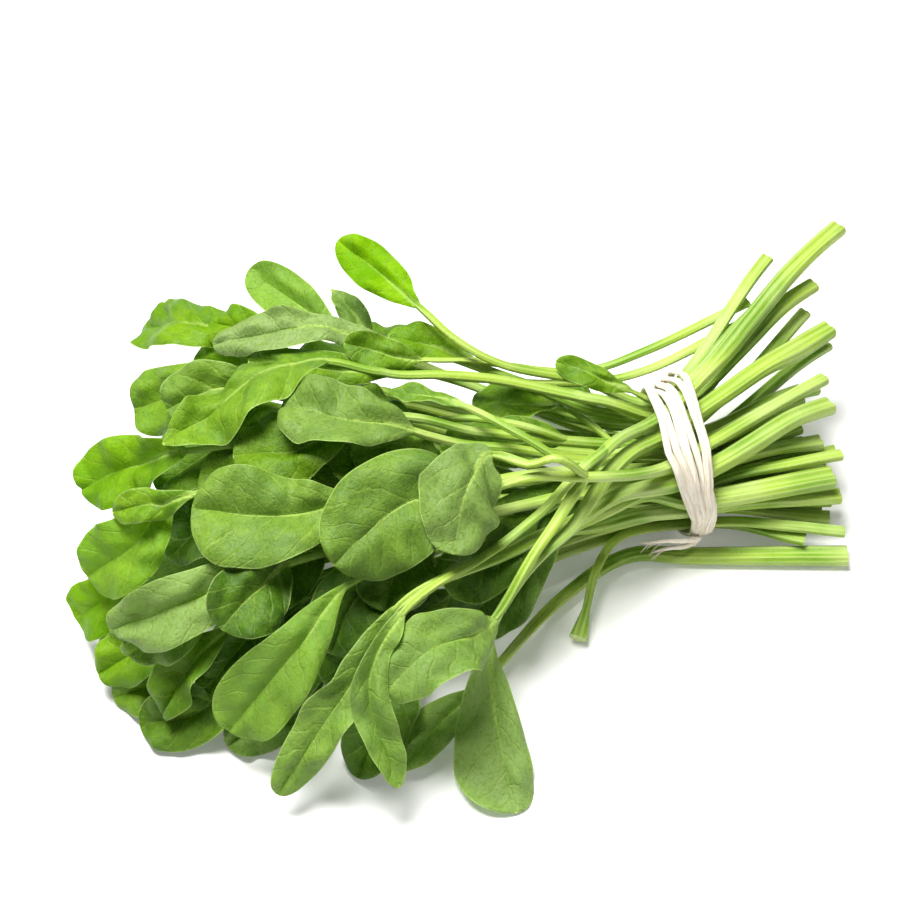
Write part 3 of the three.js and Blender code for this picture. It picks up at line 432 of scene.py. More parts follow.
def stations_of(path, form, radii):
    """Stations along a leaf, even on the stalk, with its form at each of them."""
    start, end = path.knots[-3], path.knots[-1]
    count = max(2, int(start / STALK_STATION + 0.5))
    s = np.concatenate([start * np.arange(count) / count, start + (end - start) * BLADE_STATIONS])
    thick = Values(at=[0, path.knots[1], start, end], radius=[*radii, form.tip_rib])
    return Values(s=s, start=start, end=end, thick=thick, **form_at(s, start, end, form, thick))


def form_at(s, start, end, form, thick):
    """Share of the blade's length, radius, half width and share of blade in the section.

    The radius runs straight from one given radius to the next, and the share of blade grows
    with the half width until the section is all blade.
    """
    m = np.clip((s - start) / (end - start), 0, 1)
    radius = np.interp(s, thick.at, thick.radius)
    half = outline(m, form)
    return dict(m=m, radius=radius, half=half, blade=np.clip(half / FULL_BLADE, 0, 1),
                wide=np.maximum(half, radius))


def frames(path, st, form, lifts):
    """Centre, side and up at each station.

    Side is square to the path and to the way the blade faces, which eases from upright on the
    stalk, and is turned round the path by the roll. Up is square to side and path.
    """
    centre = point_at(path, st.s)
    centre[:, 2] += lifts[:, 1]
    after = np.vstack([centre[1:], centre[-1:]])
    before = np.vstack([centre[:1], centre[:-1]])
    along = unit(after - before)
    if form.look:
        facing = unit(np.tile(np.array(form.look, float), (len(centre), 1)))
    else:
        facing = heap_normal(centre)
    settled = np.clip((st.s - st.start + TURN_LENGTH) / TURN_LENGTH, 0, 1)[:, None]
    facing = facing * settled + np.array([0, 0, 1.0]) * (1 - settled)
    side = unit(np.cross(along, facing))
    roll = np.radians(form.roll[0] + (form.roll[1] - form.roll[0]) * st.m)
    roll = (-roll * np.clip((st.s - st.start + ROLL_LENGTH) / ROLL_LENGTH, 0, 1))[:, None]
    side = side * np.cos(roll) + np.cross(along, side) * np.sin(roll)
    return centre, side, np.cross(side, along)


def plain_surface(path, st, form, seed, lifts):
    """The blade's middle surface at its margins and midrib, and the frames that carry it.

    A margin lies half a width from the midrib at the angle of the cup, goes up and down as a
    sine along the blade, and is raised by its own lift.
    """
    centre, side, up = frames(path, st, form, lifts)
    phase = [TURN * ((seed * SEED_TURN + k) % 1) for k in WAVE_PHASES]
    cup = np.radians(form.cup[0] + (form.cup[1] - form.cup[0]) * st.m)
    columns = []
    for j, q in enumerate(COLUMNS):
        crest = np.sin(phase[0 if q < 0 else 1] + st.m * form.waves * TURN)
        wave = form.wave * abs(q) * crest * np.minimum(1, st.half / FULL_WAVE) * st.blade
        half = st.half * (1 + form.skew * q)
        wide = np.maximum(half, st.radius)
        fold = st.blade * abs(q) * half * np.sin(cup) + wave
        flat = 1 - st.blade
        x = flat * st.radius * q + st.blade * wide * q * (flat + st.blade * np.cos(cup))
        p = centre + side * x[:, None] + up * fold[:, None]
        p[:, 2] += lifts[:, j] - lifts[:, 1]
        columns.append(p)
    return np.stack(columns, 1), side, up


def plain_rings(path, st, form, seed, lifts):
    """Rings of six points: three on the upper face and three on the lower.

    They lie half a thickness off the middle surface of a blade, with the midrib as a keel
    below, and at the radius of a stalk.
    """
    middle, _, up = plain_surface(path, st, form, seed, lifts)
    upper, lower = [], []
    for j, q in enumerate(COLUMNS):
        dome = math.cos(q * math.pi / 2)
        flat = 1 - st.blade
        keel = st.radius if q == 0 else 0
        corner = 0 if q == 0 else STALK_CORNER * st.radius * flat
        above = flat * st.radius * dome * STALK_CROWN + st.blade * 0.5 * CAD_THICKNESS + corner
        below = flat * st.radius * dome + st.blade * (0.5 * CAD_THICKNESS + keel) + corner
        upper.append(middle[:, j] + up * above[:, None])
        lower.append(middle[:, j] - up * below[:, None])
    return np.stack(upper + lower[::-1], 1)


def samples(rings):
    """Dense points over a loft: places, their segment, share along it and edge of the ring.

    Each face holds a grid of points, mixed from its four corners.
    """
    a, b = rings[:-1], np.roll(rings[:-1], -1, 1)
    c, d = rings[1:], np.roll(rings[1:], -1, 1)
    length = np.linalg.norm(c - a, axis=-1).max(1)
    along = np.maximum(1, np.ceil(length / SAMPLE_STEP)).astype(int)[:, None]
    width = np.maximum(np.linalg.norm(b - a, axis=-1), np.linalg.norm(d - c, axis=-1))
    across = np.maximum(1, np.ceil(width / SAMPLE_STEP)).astype(int)
    along = np.broadcast_to(along, across.shape).ravel()
    across = across.ravel()
    count = (along + 1) * (across + 1)
    quad = np.repeat(np.arange(len(count)), count)
    local = np.arange(count.sum()) - np.repeat(np.cumsum(count) - count, count)
    f = (local // (across + 1)[quad]) / along[quad]
    g = (local % (across + 1)[quad]) / across[quad]
    corner = [v.reshape(-1, 3)[quad] for v in (a, b, c, d)]
    f1, g1 = f[:, None], g[:, None]
    near = corner[0] * (1 - g1) + corner[1] * g1
    far = corner[2] * (1 - g1) + corner[3] * g1
    segment, edge = np.divmod(quad, rings.shape[1])
    return near * (1 - f1) + far * f1, segment, f, edge


# Laying the stems on each other.
class Pile:
    """Height of the pile's top over the floor, on a square grid."""

    def __init__(self, top=None):
        self.top = np.zeros(PILE_SHAPE, np.float32) if top is None else top.copy()
        self.open = None

    def cell(self, p):
        """Row and column of the square under a point."""
        ij = np.floor((p[..., :2] - PILE_CORNER) / PILE_CELL).astype(int)
        return np.clip(ij[..., 0], 1, PILE_SHAPE[0] - 2), np.clip(ij[..., 1], 1, PILE_SHAPE[1] - 2)

    def add(self, p):
        """Raises the pile to points that lie on it."""
        i, j = self.cell(p)
        np.maximum.at(self.top, (i.ravel(), j.ravel()), p[..., 2].ravel().astype(np.float32))
        self.open = None

    def free(self, p):
        """Lowest height that is free over a point, counting the neighbouring cells."""
        if self.open is None:
            rows = np.maximum(self.top, np.maximum(np.roll(self.top, 1, 0), np.roll(self.top, -1, 0)))
            top = np.maximum(rows, np.maximum(np.roll(rows, 1, 1), np.roll(rows, -1, 1)))
            self.open = np.where(top > 0, top + GAP, 0)
        return self.open[self.cell(p)]


def spread_lift(st, need, rooted):
    """Smooth rise along and across a leaf from the lift needed at single places.

    A lift falls off across the blade at the steepest slope allowed, and along it as half a
    cosine wave whose reach grows with the lift. The largest rise at a place counts.
    """
    narrow = st.wide < NARROW
    most = need.max(1, keepdims=True)
    apart = np.abs(COLUMNS[:, None] - COLUMNS[None, :])
    bent = need[:, None, :] - SIDE_SLOPE * apart[None] * st.wide[:, None, None]
    eased = np.where(narrow[:, None], most, np.maximum(bent.max(2), 0))
    away = np.abs(st.s[:, None] - st.s[None, :])[:, :, None]
    away = away / (LOCAL_REACH + REACH_GROWTH * eased[None])
    rise = np.where(away < 1, eased[None] * (0.5 + 0.5 * np.cos(math.pi * away)), 0).max(1)
    rise = np.where(narrow[:, None], rise.max(1, keepdims=True), rise)
    if rooted:
        rise[0] = 0
    return rise


def settle(path, st, form, seed, pile, parent):
    """Lifts of a leaf that bring all of it clear of the pile.

    Dense points over it are held against the pile, and the height they lack is spread over
    the leaf, until none is lacking. The root of a further leaf may stay in its own stalk.
    """
    lifts = np.zeros((len(st.s), 3))
    for _ in range(SETTLE_PASSES):
        p, segment, f, edge = samples(plain_rings(path, st, form, seed, lifts))
        lack = pile.free(p) - p[:, 2]
        keep = lack > ENOUGH
        if parent is not None:
            keep &= ~((segment == 0) & (f < ROOT_SHARE))
            keep[keep] = ~parent.holds(p[keep])
            lack = np.where(segment == 0, lack / np.maximum(f, ROOT_SHARE), lack)
        if not keep.any():
            break
        segment, edge, lack = segment[keep], edge[keep], lack[keep]
        need = np.zeros_like(lifts)
        for corner in (edge, (edge + 1) % PLAIN_RING):
            column = np.where(corner < len(COLUMNS), corner, PLAIN_RING - 1 - corner)
            np.maximum.at(need, (segment, column), lack)
            np.maximum.at(need, (segment + 1, column), lack)
        lifts = lifts + spread_lift(st, need, parent is not None)
    return lifts


def fan_cut(place, order):
    """Cut end of a stem whose own isn't stated: the stalks fan out and end unevenly.

    Its distance across is a multiple of that in the tie, shifted by height; it is nearly as
    high as in the tie, and its length steps through a small range from stem to stem.
    """
    y, z = place
    across = FAN.spread * y + FAN.shift + np.interp(z, FAN_HEIGHT, FAN_SHIFT)
    return (FAN.nearest + (order * FAN.step) % FAN.uneven, across,
            max(FAN.lowest, FAN.level * z + FAN.tilt * across))


def stalk_of(first, radius):
    """A laid stalk: its places by length, and a test for points inside it."""
    path, st, lifts = first.path, first.st, first.lifts

    def at(s):
        """Places of its middle line at given lengths."""
        p = point_at(path, np.atleast_1d(s))
        p[:, 2] += np.interp(s, st.s, lifts[:, 1])
        return p

    line = at(path.knots[-1] * np.arange(STALK_POINTS) / (STALK_POINTS - 1))

    def holds(p):
        """Whether points lie closer to its middle line than its radius and a clearing."""
        far = ((p[:, None] - line[None]) ** 2).sum(-1).min(1) if len(p) else np.zeros(0)
        return far < (radius + ROOT_CLEARING) ** 2

    return Values(at=at, holds=holds)


def lay_stems():
    """Every leaf of every stem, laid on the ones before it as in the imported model."""
    pile = Pile()
    laid = []
    for order, one in enumerate(STEMS):
        own, radius = [], one.radius
        for j, form in enumerate(one.leaves):
            parent, ground = None, pile
            if j == 0:
                cut = one.cut or fan_cut(one.place, order)
                path = smooth_line([cut, (0, *one.place), *form.via, *form.ends])
                radii = (CUT_FLARE * radius, radius,
                         form.base_rib or min(BASE_RIB, BASE_SHARE * radius))
            else:
                parent = stalk_of(own[0], radius)
                s = own[0].path.knots[1] + (form.root or BRANCH_AT + BRANCH_STEP * j)
                root = parent.at(s)[0]
                following = parent.at(s + BRANCH_RUN)[0] + (0, 0, BRANCH_RISE)
                path = smooth_line([root, following, *form.via, *form.ends])
                radii = (BRANCH_RADIUS * radius, BRANCH_RADIUS * radius,
                         min(BRANCH_RIB, BRANCH_SHARE * radius))
                ground = Pile(pile.top)
                for other in own:
                    ground.add(other.points)
            st = stations_of(path, form, radii)
            seed = order * 3 + j
            lifts = settle(path, st, form, seed, ground, parent)
            points = samples(plain_rings(path, st, form, seed, lifts))[0]
            own.append(Values(name=one.name, path=path, st=st, form=form, seed=seed, lifts=lifts,
                              points=points, parent=parent, index=j))
        for other in own:
            pile.add(other.points)
        laid.append(own)
    return laid


# The fine surface of a leaf.
def fine_stations(st):
    """Lengths along a leaf where its fine surface has a row: even on the stalk, close at the tip.

    On the blade they mix even steps with those of a cosine, which crowd at both ends.
    """
    count = max(3, int(st.start / FINE_STALK_STEP))
    m = 0.5 - 0.5 * np.cos(math.pi * np.linspace(0, 1, FINE_BLADE + 1))
    m = TIP_CROWDING * m + (1 - TIP_CROWDING) * np.linspace(0, 1, FINE_BLADE + 1)
    return np.concatenate([st.start * np.arange(count) / count,
                           st.start + (st.end - st.start) * m])


def relief_of(form, q, m, half, away, phases, rng):
    """Height of a blade over its smooth middle surface: five forms added together.

    A parabola bulges between midrib and margin. The ruffle is two sines along the blade that
    grow with the cube of the distance from the midrib. The quilt is half a sine between each
    two side veins. One slow sine swells the blade, and sines in random directions pucker it.
    """
    p1, p2, p3, p4 = phases
    a, x = np.abs(q), q * half
    size = np.minimum(1, half / FULL_RELIEF)
    bulge = form.bulge * 4 * a * (1 - a) * half
    lobes = RUFFLE.turns + rng.uniform(-RUFFLE.spread, RUFFLE.spread)
    coarse = np.sin(TURN * lobes * m + np.where(q < 0, p2, p3))
    finer = RUFFLE.share * np.sin(TURN * RUFFLE.finer * lobes * m + p4 + q)
    ruffle = a**3 * size * form.ruffle * (coarse + finer)
    vein = (away - VEIN.slant * np.abs(x) - VEIN.curve * x * x) / VEIN.step + 0.5 * (q < 0)
    cells = np.sin(math.pi * np.minimum(1, a * QUILT.reach)) * np.abs(np.sin(math.pi * vein))
    quilt = QUILT.size * size * cells
    swell = SWELL.size * size * a * np.sin(TURN * SWELL.turns * m + SWELL.slant * q + p1)
    pucker = np.zeros_like(x)
    for _ in range(PUCKER.count):
        turn = rng.uniform(0, TURN)
        wavelength = rng.uniform(PUCKER.shortest, PUCKER.longest)
        phase = rng.uniform(0, 7)
        run = away * math.cos(turn) + x * math.sin(turn)
        pucker += wavelength / PUCKER.usual * np.sin(TURN * run / wavelength + phase)
    pucker *= PUCKER.size * size * np.minimum(1, PUCKER.reach * a)
    return bulge + ruffle + quilt + swell + pucker


def sides_of(q, half, blade, radius):
    """How far the upper and the lower face lie from the middle surface.

    On a blade it is half the thickness, which thins to nothing at the margin, and a midrib
    shaped like a bell. On a stalk it is half a round, lower and grooved on the upper side.
    """
    flat = 1 - blade
    rib = radius * np.exp(-(np.abs(q * half) / np.maximum(RIB.spread * radius, RIB.least)) ** 2)
    dome = radius * np.cos(q * math.pi / 2)
    groove = GROOVE.depth * radius * np.exp(-(q / GROOVE.width) ** 2)
    skin = 0.5 * BLADE_THICKNESS * np.sqrt(np.maximum(1 - np.abs(q) ** 8, 0))
    upper = flat * (GROOVE.crown * dome - groove) + blade * (skin + RIB.above * rib)
    return upper, flat * dome + blade * (skin + RIB.below * rib)


def fine_leaf(one):
    """Grids of a leaf's upper and lower faces, row by row along its length.

    Across a row, q runs from -1 at one margin through 0 at the midrib to 1 at the other. The
    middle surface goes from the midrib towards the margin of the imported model, bulges between
    them, is quilted between the side veins and ruffled towards the margin. The two faces lie
    on either side of it, joined at the margins; on the stalk they are a round, grooved section.
    """
    path, st, form, seed = one.path, one.st, one.form, one.seed
    middle, side, _ = plain_surface(path, st, form, seed, one.lifts)
    s = fine_stations(st)
    now = Values(**form_at(s, st.start, st.end, form, st.thick))
    centre = point_at(path, s)
    centre[:, 2] += rounded(s, st.s, one.lifts[:, 1])
    arms = (middle[:, [0, 2]] - middle[:, 1:2]) / st.wide[:, None, None]
    arms[-1] = arms[-2]
    arms = rounded(s, st.s, arms)
    side = unit(rounded(s, st.s, side))
    along = unit(np.gradient(centre, s, axis=0))
    up = unit(np.cross(side, along))

    q = np.concatenate([-HALF_COLUMNS[:0:-1], HALF_COLUMNS])
    a = np.abs(q)
    blade = now.blade[:, None]
    flat = 1 - blade
    half = now.half[:, None]
    m = now.m[:, None]
    rng = np.random.default_rng(seed + RELIEF_SEED)
    phases = rng.uniform(0, TURN, 4)
    reach = (flat * np.sin(a * math.pi / 2) + blade * a) * now.wide[:, None]
    wave = np.sin(TURN * SCALLOP.turns * m + phases[0] + SCALLOP.slant * q)
    scallop = 1 + SCALLOP.size * blade * a**2 * wave
    arm = np.where(q[None, :, None] < 0, arms[:, 0:1], arms[:, 1:2])
    surface = centre[:, None] + arm * (reach * scallop)[..., None]
    relief = relief_of(form, q, m, half, s[:, None] - st.start, phases, rng)
    surface += up[:, None] * (blade * relief)[..., None]

    d_along = np.gradient(surface, axis=0)
    d_across = np.gradient(surface, axis=1)
    normal = unit(np.cross(d_across, d_along))
    normal = unit(normal * blade[..., None] + up[:, None] * flat[..., None])
    upper, lower = sides_of(q, half, blade, now.radius[:, None])
    top = surface + normal * upper[..., None]
    under = surface - normal * lower[..., None]
    return Values(top=top, under=under, s=s - st.start, m=m[:, 0], q=q, half=now.half,
                  blade=now.blade, radius=now.radius)


def ring_of(upper, lower):
    """A row's upper face from one margin to the other, then its lower face back."""
    return np.concatenate([upper, lower[:, -2:0:-1]], 1)


def drape(fine, one, pile):
    """Lifts the fine surface clear of the pile: as much as each place needs, eased between them.

    A place rises by what it needs, or nearly by the mean rise of its four neighbours where
    that is more. A row of the stalk rises as a whole.
    """
    need = np.maximum(pile.free(fine.under) - fine.under[..., 2], 0)
    if one.parent is not None:
        inside = one.parent.holds(fine.under.reshape(-1, 3)).reshape(need.shape)
        need = np.where(inside, 0, need)
        need[:ROOT_ROWS] = 0
    need[:, 1:-1] = np.maximum(need[:, 1:-1], np.minimum(need[:, :-2], need[:, 2:]))
    narrow = fine.blade < WHOLE_BLADE
    need[narrow] = need[narrow].max(1, keepdims=True)
    rise = need.copy()
    for _ in range(DRAPE_PASSES):
        wide = np.pad(rise, 1, mode="edge")
        mean = 0.25 * (wide[:-2, 1:-1] + wide[2:, 1:-1] + wide[1:-1, :-2] + wide[1:-1, 2:])
        rise = np.maximum(need, DRAPE_FALL * mean)
        rise[narrow] = rise[narrow].max(1, keepdims=True)
    if one.parent is not None:
        rise[0] = 0
    for face in (fine.top, fine.under):
        face[..., 2] += rise


def fine_stems(laid):
    """The fine surfaces of every stem, draped in the same order as the stems were laid."""
    pile = Pile()
    for own in laid:
        done = []
        for one in own:
            fine = fine_leaf(one)
            ground = pile
            if one.index:
                ground = Pile(pile.top)
                for points in done:
                    ground.add(points)
            drape(fine, one, ground)
            one.fine = fine
            done.append(samples(ring_of(fine.top, fine.under))[0])
        for points in done:
            pile.add(points)


# Meshes.
def loft_faces(rows, ring, start=0):
    """Quads between successive rings of one size."""
    i, k = np.meshgrid(np.arange(rows - 1), np.arange(ring), indexing="ij")
    k2 = (k + 1) % ring
    quads = np.stack([i * ring + k, i * ring + k2, (i + 1) * ring + k2, (i + 1) * ring + k], -1)
    return quads.reshape(-1, 4) + start


def cap_faces(columns, first, outward):
    """Quads and two triangles that close one end ring, strip by strip across it."""
    ring = 2 * columns - 2
    faces = []
    for k in range(columns - 1):
        a, b = first + k, first + k + 1
        c = first + (ring - k - 1) % ring
        d = first + (ring - k) % ring
        face = [a, b, c, d]
        face = [v for n, v in enumerate(face) if v not in face[:n]]
        faces.append(face if outward else face[::-1])
    return faces


def place_new(name, data):
    """A new object in the scene."""
    made = bpy.data.objects.new(name, data)
    bpy.context.scene.collection.objects.link(made)
    return made


def mesh_of(name, points, faces, fields, material):
    """A smooth closed mesh from points in millimetres, faces and named vertex values."""
    loops = np.concatenate([np.asarray(f).ravel() for f in faces])
    sizes = np.concatenate([np.full(len(f), np.asarray(f).shape[1]) for f in faces])
    mesh = bpy.data.meshes.new(name)
    mesh.vertices.add(len(points))
    mesh.vertices.foreach_set("co", (points * MM).astype(np.float32).ravel())
    mesh.loops.add(len(loops))
    mesh.loops.foreach_set("vertex_index", loops.astype(np.int32))
    mesh.polygons.add(len(sizes))
    mesh.polygons.foreach_set("loop_start", (np.cumsum(sizes) - sizes).astype(np.int32))
    mesh.polygons.foreach_set("loop_total", sizes.astype(np.int32))
    mesh.polygons.foreach_set("use_smooth", np.ones(len(sizes), bool))
    mesh.update(calc_edges=True)
    for field, values in fields.items():
        kind = "FLOAT_VECTOR" if values.ndim > 1 else "FLOAT"
        layer = mesh.attributes.new(field, kind, "POINT")
        layer.data.foreach_set("vector" if values.ndim > 1 else "value",
                               values.astype(np.float32).ravel())
    mesh.set_sharp_from_angle(angle=math.radians(SHARP_ANGLE))
    mesh.materials.append(material)
    return place_new(name, mesh)


# The tie.
TIE = Values(centre=(3, 27), places=(-1.05, -0.7, -0.35, -0.05, 0.3, 0.65, 1), half_width=1.5,
             half_thickness=0.8, weave=0.12, weave_step=2.1, press=1.2, lift=0.5, core=18, directions=72,
             slice=2, slices=14, twist=0.02, more_twist=0.01)
# Its band: angle round the stalks from the back, place of its middle, half width.
BAND_ANGLE = [-90, 0, 45, 90, 120, 150, 180, 225, 270]
BAND_MIDDLE = [2.5, 4, 1, 0, 0, 1.5, 5, 6, 2.5]
BAND_HALF = [4, 5, 7, 8, 8.5, 5, 3.5, 3.2, 4]
# Its two short ends, which lie along the front of the stalks.
TAILS = [
    [(5, -24, 11), (-3, -27, 16), (-11, -27.5, 19), (-20, -27, 20)],
    [(4, -24, 9), (-3, -27, 12), (-9, -27, 13), (-15, -26.5, 12)],
]
STRAND_STATIONS = 180
STRAND_RING = 20
STRAND_UNEVEN = 0.12
RIDGES = ((0.06, 5, 0), (0.04, 9, 1.3))
FLOOR_CLEAR = 0.02
TIE_SEED = 5
FACING_LEAST = 0.15
FAR = 1e3
THREAD = Values(count=2, radius=0.24, slip=0.8, lift=0.9)
TAIL = Values(thin=0.55, twist=0.25, first_id=20)
FIBRE = Values(count=7, shortest=4, longest=9, thick=0.3, thin=0.1, first_id=30, from_tip=6, apart=3,
               aside=(-0.5, -0.1), up=(-0.6, 0.5), droop=(0, -0.4, -0.5), flat=(0, 0.6, 0.8))


def stalk_reach(tied):
    """How far the stalks reach from the tie's middle in every direction, slice by slice.

    It is the largest projection of their points on that direction.
    """
    cy, cz = TIE.centre
    angles = TURN * np.arange(TIE.directions) / TIE.directions
    reach = np.zeros((2 * TIE.slices, TIE.directions))
    for fine in tied:
        p = samples(ring_of(fine.top, fine.under))[0]
        at = np.floor(p[:, 0] / TIE.slice).astype(int) + TIE.slices
        near = (at >= 0) & (at < len(reach)) & (np.hypot(p[:, 1] - cy, p[:, 2] - cz) > TIE.core)
        p, at = p[near], at[near]
        out = (p[:, 1:2] - cy) * np.cos(angles) + (p[:, 2:] - cz) * np.sin(angles)
        for k in range(len(reach)):
            if (at == k).any():
                reach[k] = np.maximum(reach[k], out[at == k].max(0))
    return reach


def strand_reach(reach, x, angle):
    """Distance from the tie's middle to a strand clear of the stalks, at each place along it.

    It is the least, over the directions that face the place, of the stalks' reach there
    divided by the cosine of the angle between.
    """
    facing = np.cos(angle[:, None] - TURN * np.arange(TIE.directions) / TIE.directions)
    at = np.clip(np.floor(x / TIE.slice).astype(int) + TIE.slices, 1, len(reach) - 2)
    out = np.maximum(np.maximum(reach[at - 1], reach[at]), reach[at + 1])
    far = (out + GAP + TIE.press * TIE.half_thickness) / np.maximum(facing, FACING_LEAST)
    return np.where(facing > FACING_LEAST, far, FAR).min(1)


def eased(values, raising=10, smoothing=4):
    """Values round a closed loop, raised to bridge hollows and then smoothed a little."""
    out = values
    for _ in range(raising):
        out = np.maximum(values, (np.roll(out, 1) + np.roll(out, -1)) / 2)
    for _ in range(smoothing):
        out = (np.roll(out, 1) + 2 * out + np.roll(out, -1)) / 4
    return out


def ribbon(points, wide, half_width, half_thickness, twist, closed):
    """A flat fibrous ribbon along points: an oval section with ridges that wind round it."""
    if closed:
        along = unit(np.roll(points, -1, 0) - np.roll(points, 1, 0))
    else:
        along = unit(np.gradient(points, axis=0))
    thick = unit(np.cross(wide, along))
    wide = np.cross(along, thick)
    step = np.linalg.norm(np.diff(points, axis=0, append=points[:1]), axis=1)
    length = np.cumsum(step) - step
    around = TURN * np.arange(STRAND_RING) / STRAND_RING
    turn = around + twist * length[:, None]
    ridge = 1
    for size, count, phase in RIDGES:
        ridge = ridge + size * np.cos(count * turn + phase)
    out = (wide[:, None] * (half_width[:, None] * ridge * np.cos(around))[..., None]
           + thick[:, None] * (half_thickness[:, None] * ridge * np.sin(around))[..., None])
    rings = points[:, None] + out
    rings[..., 2] = np.maximum(rings[..., 2], FLOOR_CLEAR)
    place = np.stack([np.broadcast_to(length[:, None], turn.shape),
                      np.broadcast_to(around, turn.shape), turn], -1)
    return rings, place


def tie_strands(reach):
    """Places along each strand round the stalks.

    A strand goes once round at its own place across the band, weaves from it as a sine, and
    keeps to the outline of the stalks.
    """
    cy, cz = TIE.centre
    degrees = np.linspace(-90, 270, STRAND_STATIONS, endpoint=False)
    a = np.radians(degrees)
    middle = np.interp(degrees, BAND_ANGLE, BAND_MIDDLE)
    half = np.interp(degrees, BAND_ANGLE, BAND_HALF)
    for j, across in enumerate(TIE.places):
        place = across + TIE.weave * np.sin(2 * a + TIE.weave_step * j)
        x = middle + half * place
        r = eased(strand_reach(reach, x, a)) + (TIE.lift if j % 2 else 0)
        z = cz + r * np.sin(a)
        z = np.where(z < 2 * TIE.half_thickness, 0.8 * TIE.half_thickness, z)
        yield np.stack([x, cy + r * np.cos(a), z], -1), degrees


def band_of(reach):
    """The strands round the stalks, each with thin threads along it."""
    rings = []
    for j, (points, degrees) in enumerate(tie_strands(reach)):
        a = np.radians(degrees)
        thick = TIE.half_thickness * (1 + STRAND_UNEVEN * np.sin(a * 3 + j))
        wide = TIE.half_width * (1 + STRAND_UNEVEN * np.sin(a * 3 + j))
        flat = np.tile([1.0, 0, 0], (len(points), 1))
        rings.append((*ribbon(points, flat, wide, thick, TIE.twist + TIE.more_twist * j, True),
                      True, j))
        out = unit(points - np.array([0, *TIE.centre]))[:, 1:]
        size = np.full(len(points), THREAD.radius)
        for k in range(THREAD.count):
            thread = points.copy()
            thread[:, 0] += THREAD.slip * np.sin(a * (3 + k) + 2 * j)
            thread[:, 1:] += out * (thick * THREAD.lift)[:, None]
            rings.append((*ribbon(thread, flat, size, size, 0, True), True, j + 7 * k + 3))
    return rings


def tail_of(tail, k, rng):
    """One free end of the tie, and the loose fibres that stand off its tip."""
    line = smooth_line(tail).line
    size = np.linspace(1, TAIL.thin, len(line))
    flat = np.tile([0, 0, 1.0], (len(line), 1))
    end = ribbon(line, flat, TIE.half_width * size, TIE.half_thickness * size, TAIL.twist,
                 False)
    rings = [(*end, False, TAIL.first_id + k)]
    ahead = unit(line[-1] - line[-20])
    for i in range(FIBRE.count):
        first = line[-FIBRE.from_tip - FIBRE.apart * i]
        bent = unit(ahead + np.array([0, rng.uniform(*FIBRE.aside), rng.uniform(*FIBRE.up)]))
        reach = rng.uniform(FIBRE.shortest, FIBRE.longest)
        last = first + bent * reach + FIBRE.droop
        fibre = smooth_line([first, first + bent * reach * 0.5, last], 10).line
        size = np.linspace(FIBRE.thick, FIBRE.thin, len(fibre))
        flat = np.tile(FIBRE.flat, (len(fibre), 1))
        rings.append((*ribbon(fibre, flat, size, size, 0, False), False, FIBRE.first_id + i))
    return rings


def make_tie(tied, material):
    """The band round the stalks and its two free ends, as one mesh."""
    rng = np.random.default_rng(TIE_SEED)
    rings = band_of(stalk_reach(tied))
    for k, tail in enumerate(TAILS):
        rings += tail_of(tail, k, rng)
    points, faces, place, strand, count = [], [], [], [], 0
    for ring, where, closed, j in rings:
        n, k = ring.shape[:2]
        faces.append(loft_faces(n, k, count)[:, ::-1])
        if closed:
            a = count + (n - 1) * k + np.arange(k)
            b = count + np.arange(k)
            faces.append(np.stack([np.roll(b, -1), np.roll(a, -1), a, b], -1))
        else:
            for first, flip in ((count, False), (count + (n - 1) * k, True)):
                i = np.arange(k // 2 - 1)
                cap = np.stack([first + i, first + i + 1, first + k - 2 - i, first + k - 1 - i], -1)
                faces.append(cap if not flip else cap[:, ::-1])
        points.append(ring.reshape(-1, 3))
        place.append(where.reshape(-1, 3))
        strand.append(np.full(n * k, j, float))
        count += n * k
    return mesh_of("tie_strands", np.concatenate(points), faces,
                   dict(strand_place=np.concatenate(place), strand_id=np.concatenate(strand)),
                   material)


# Shaders.
BUMP_STRENGTH = 0.8
BUMP_DEPTH = 0.0004  # in metres


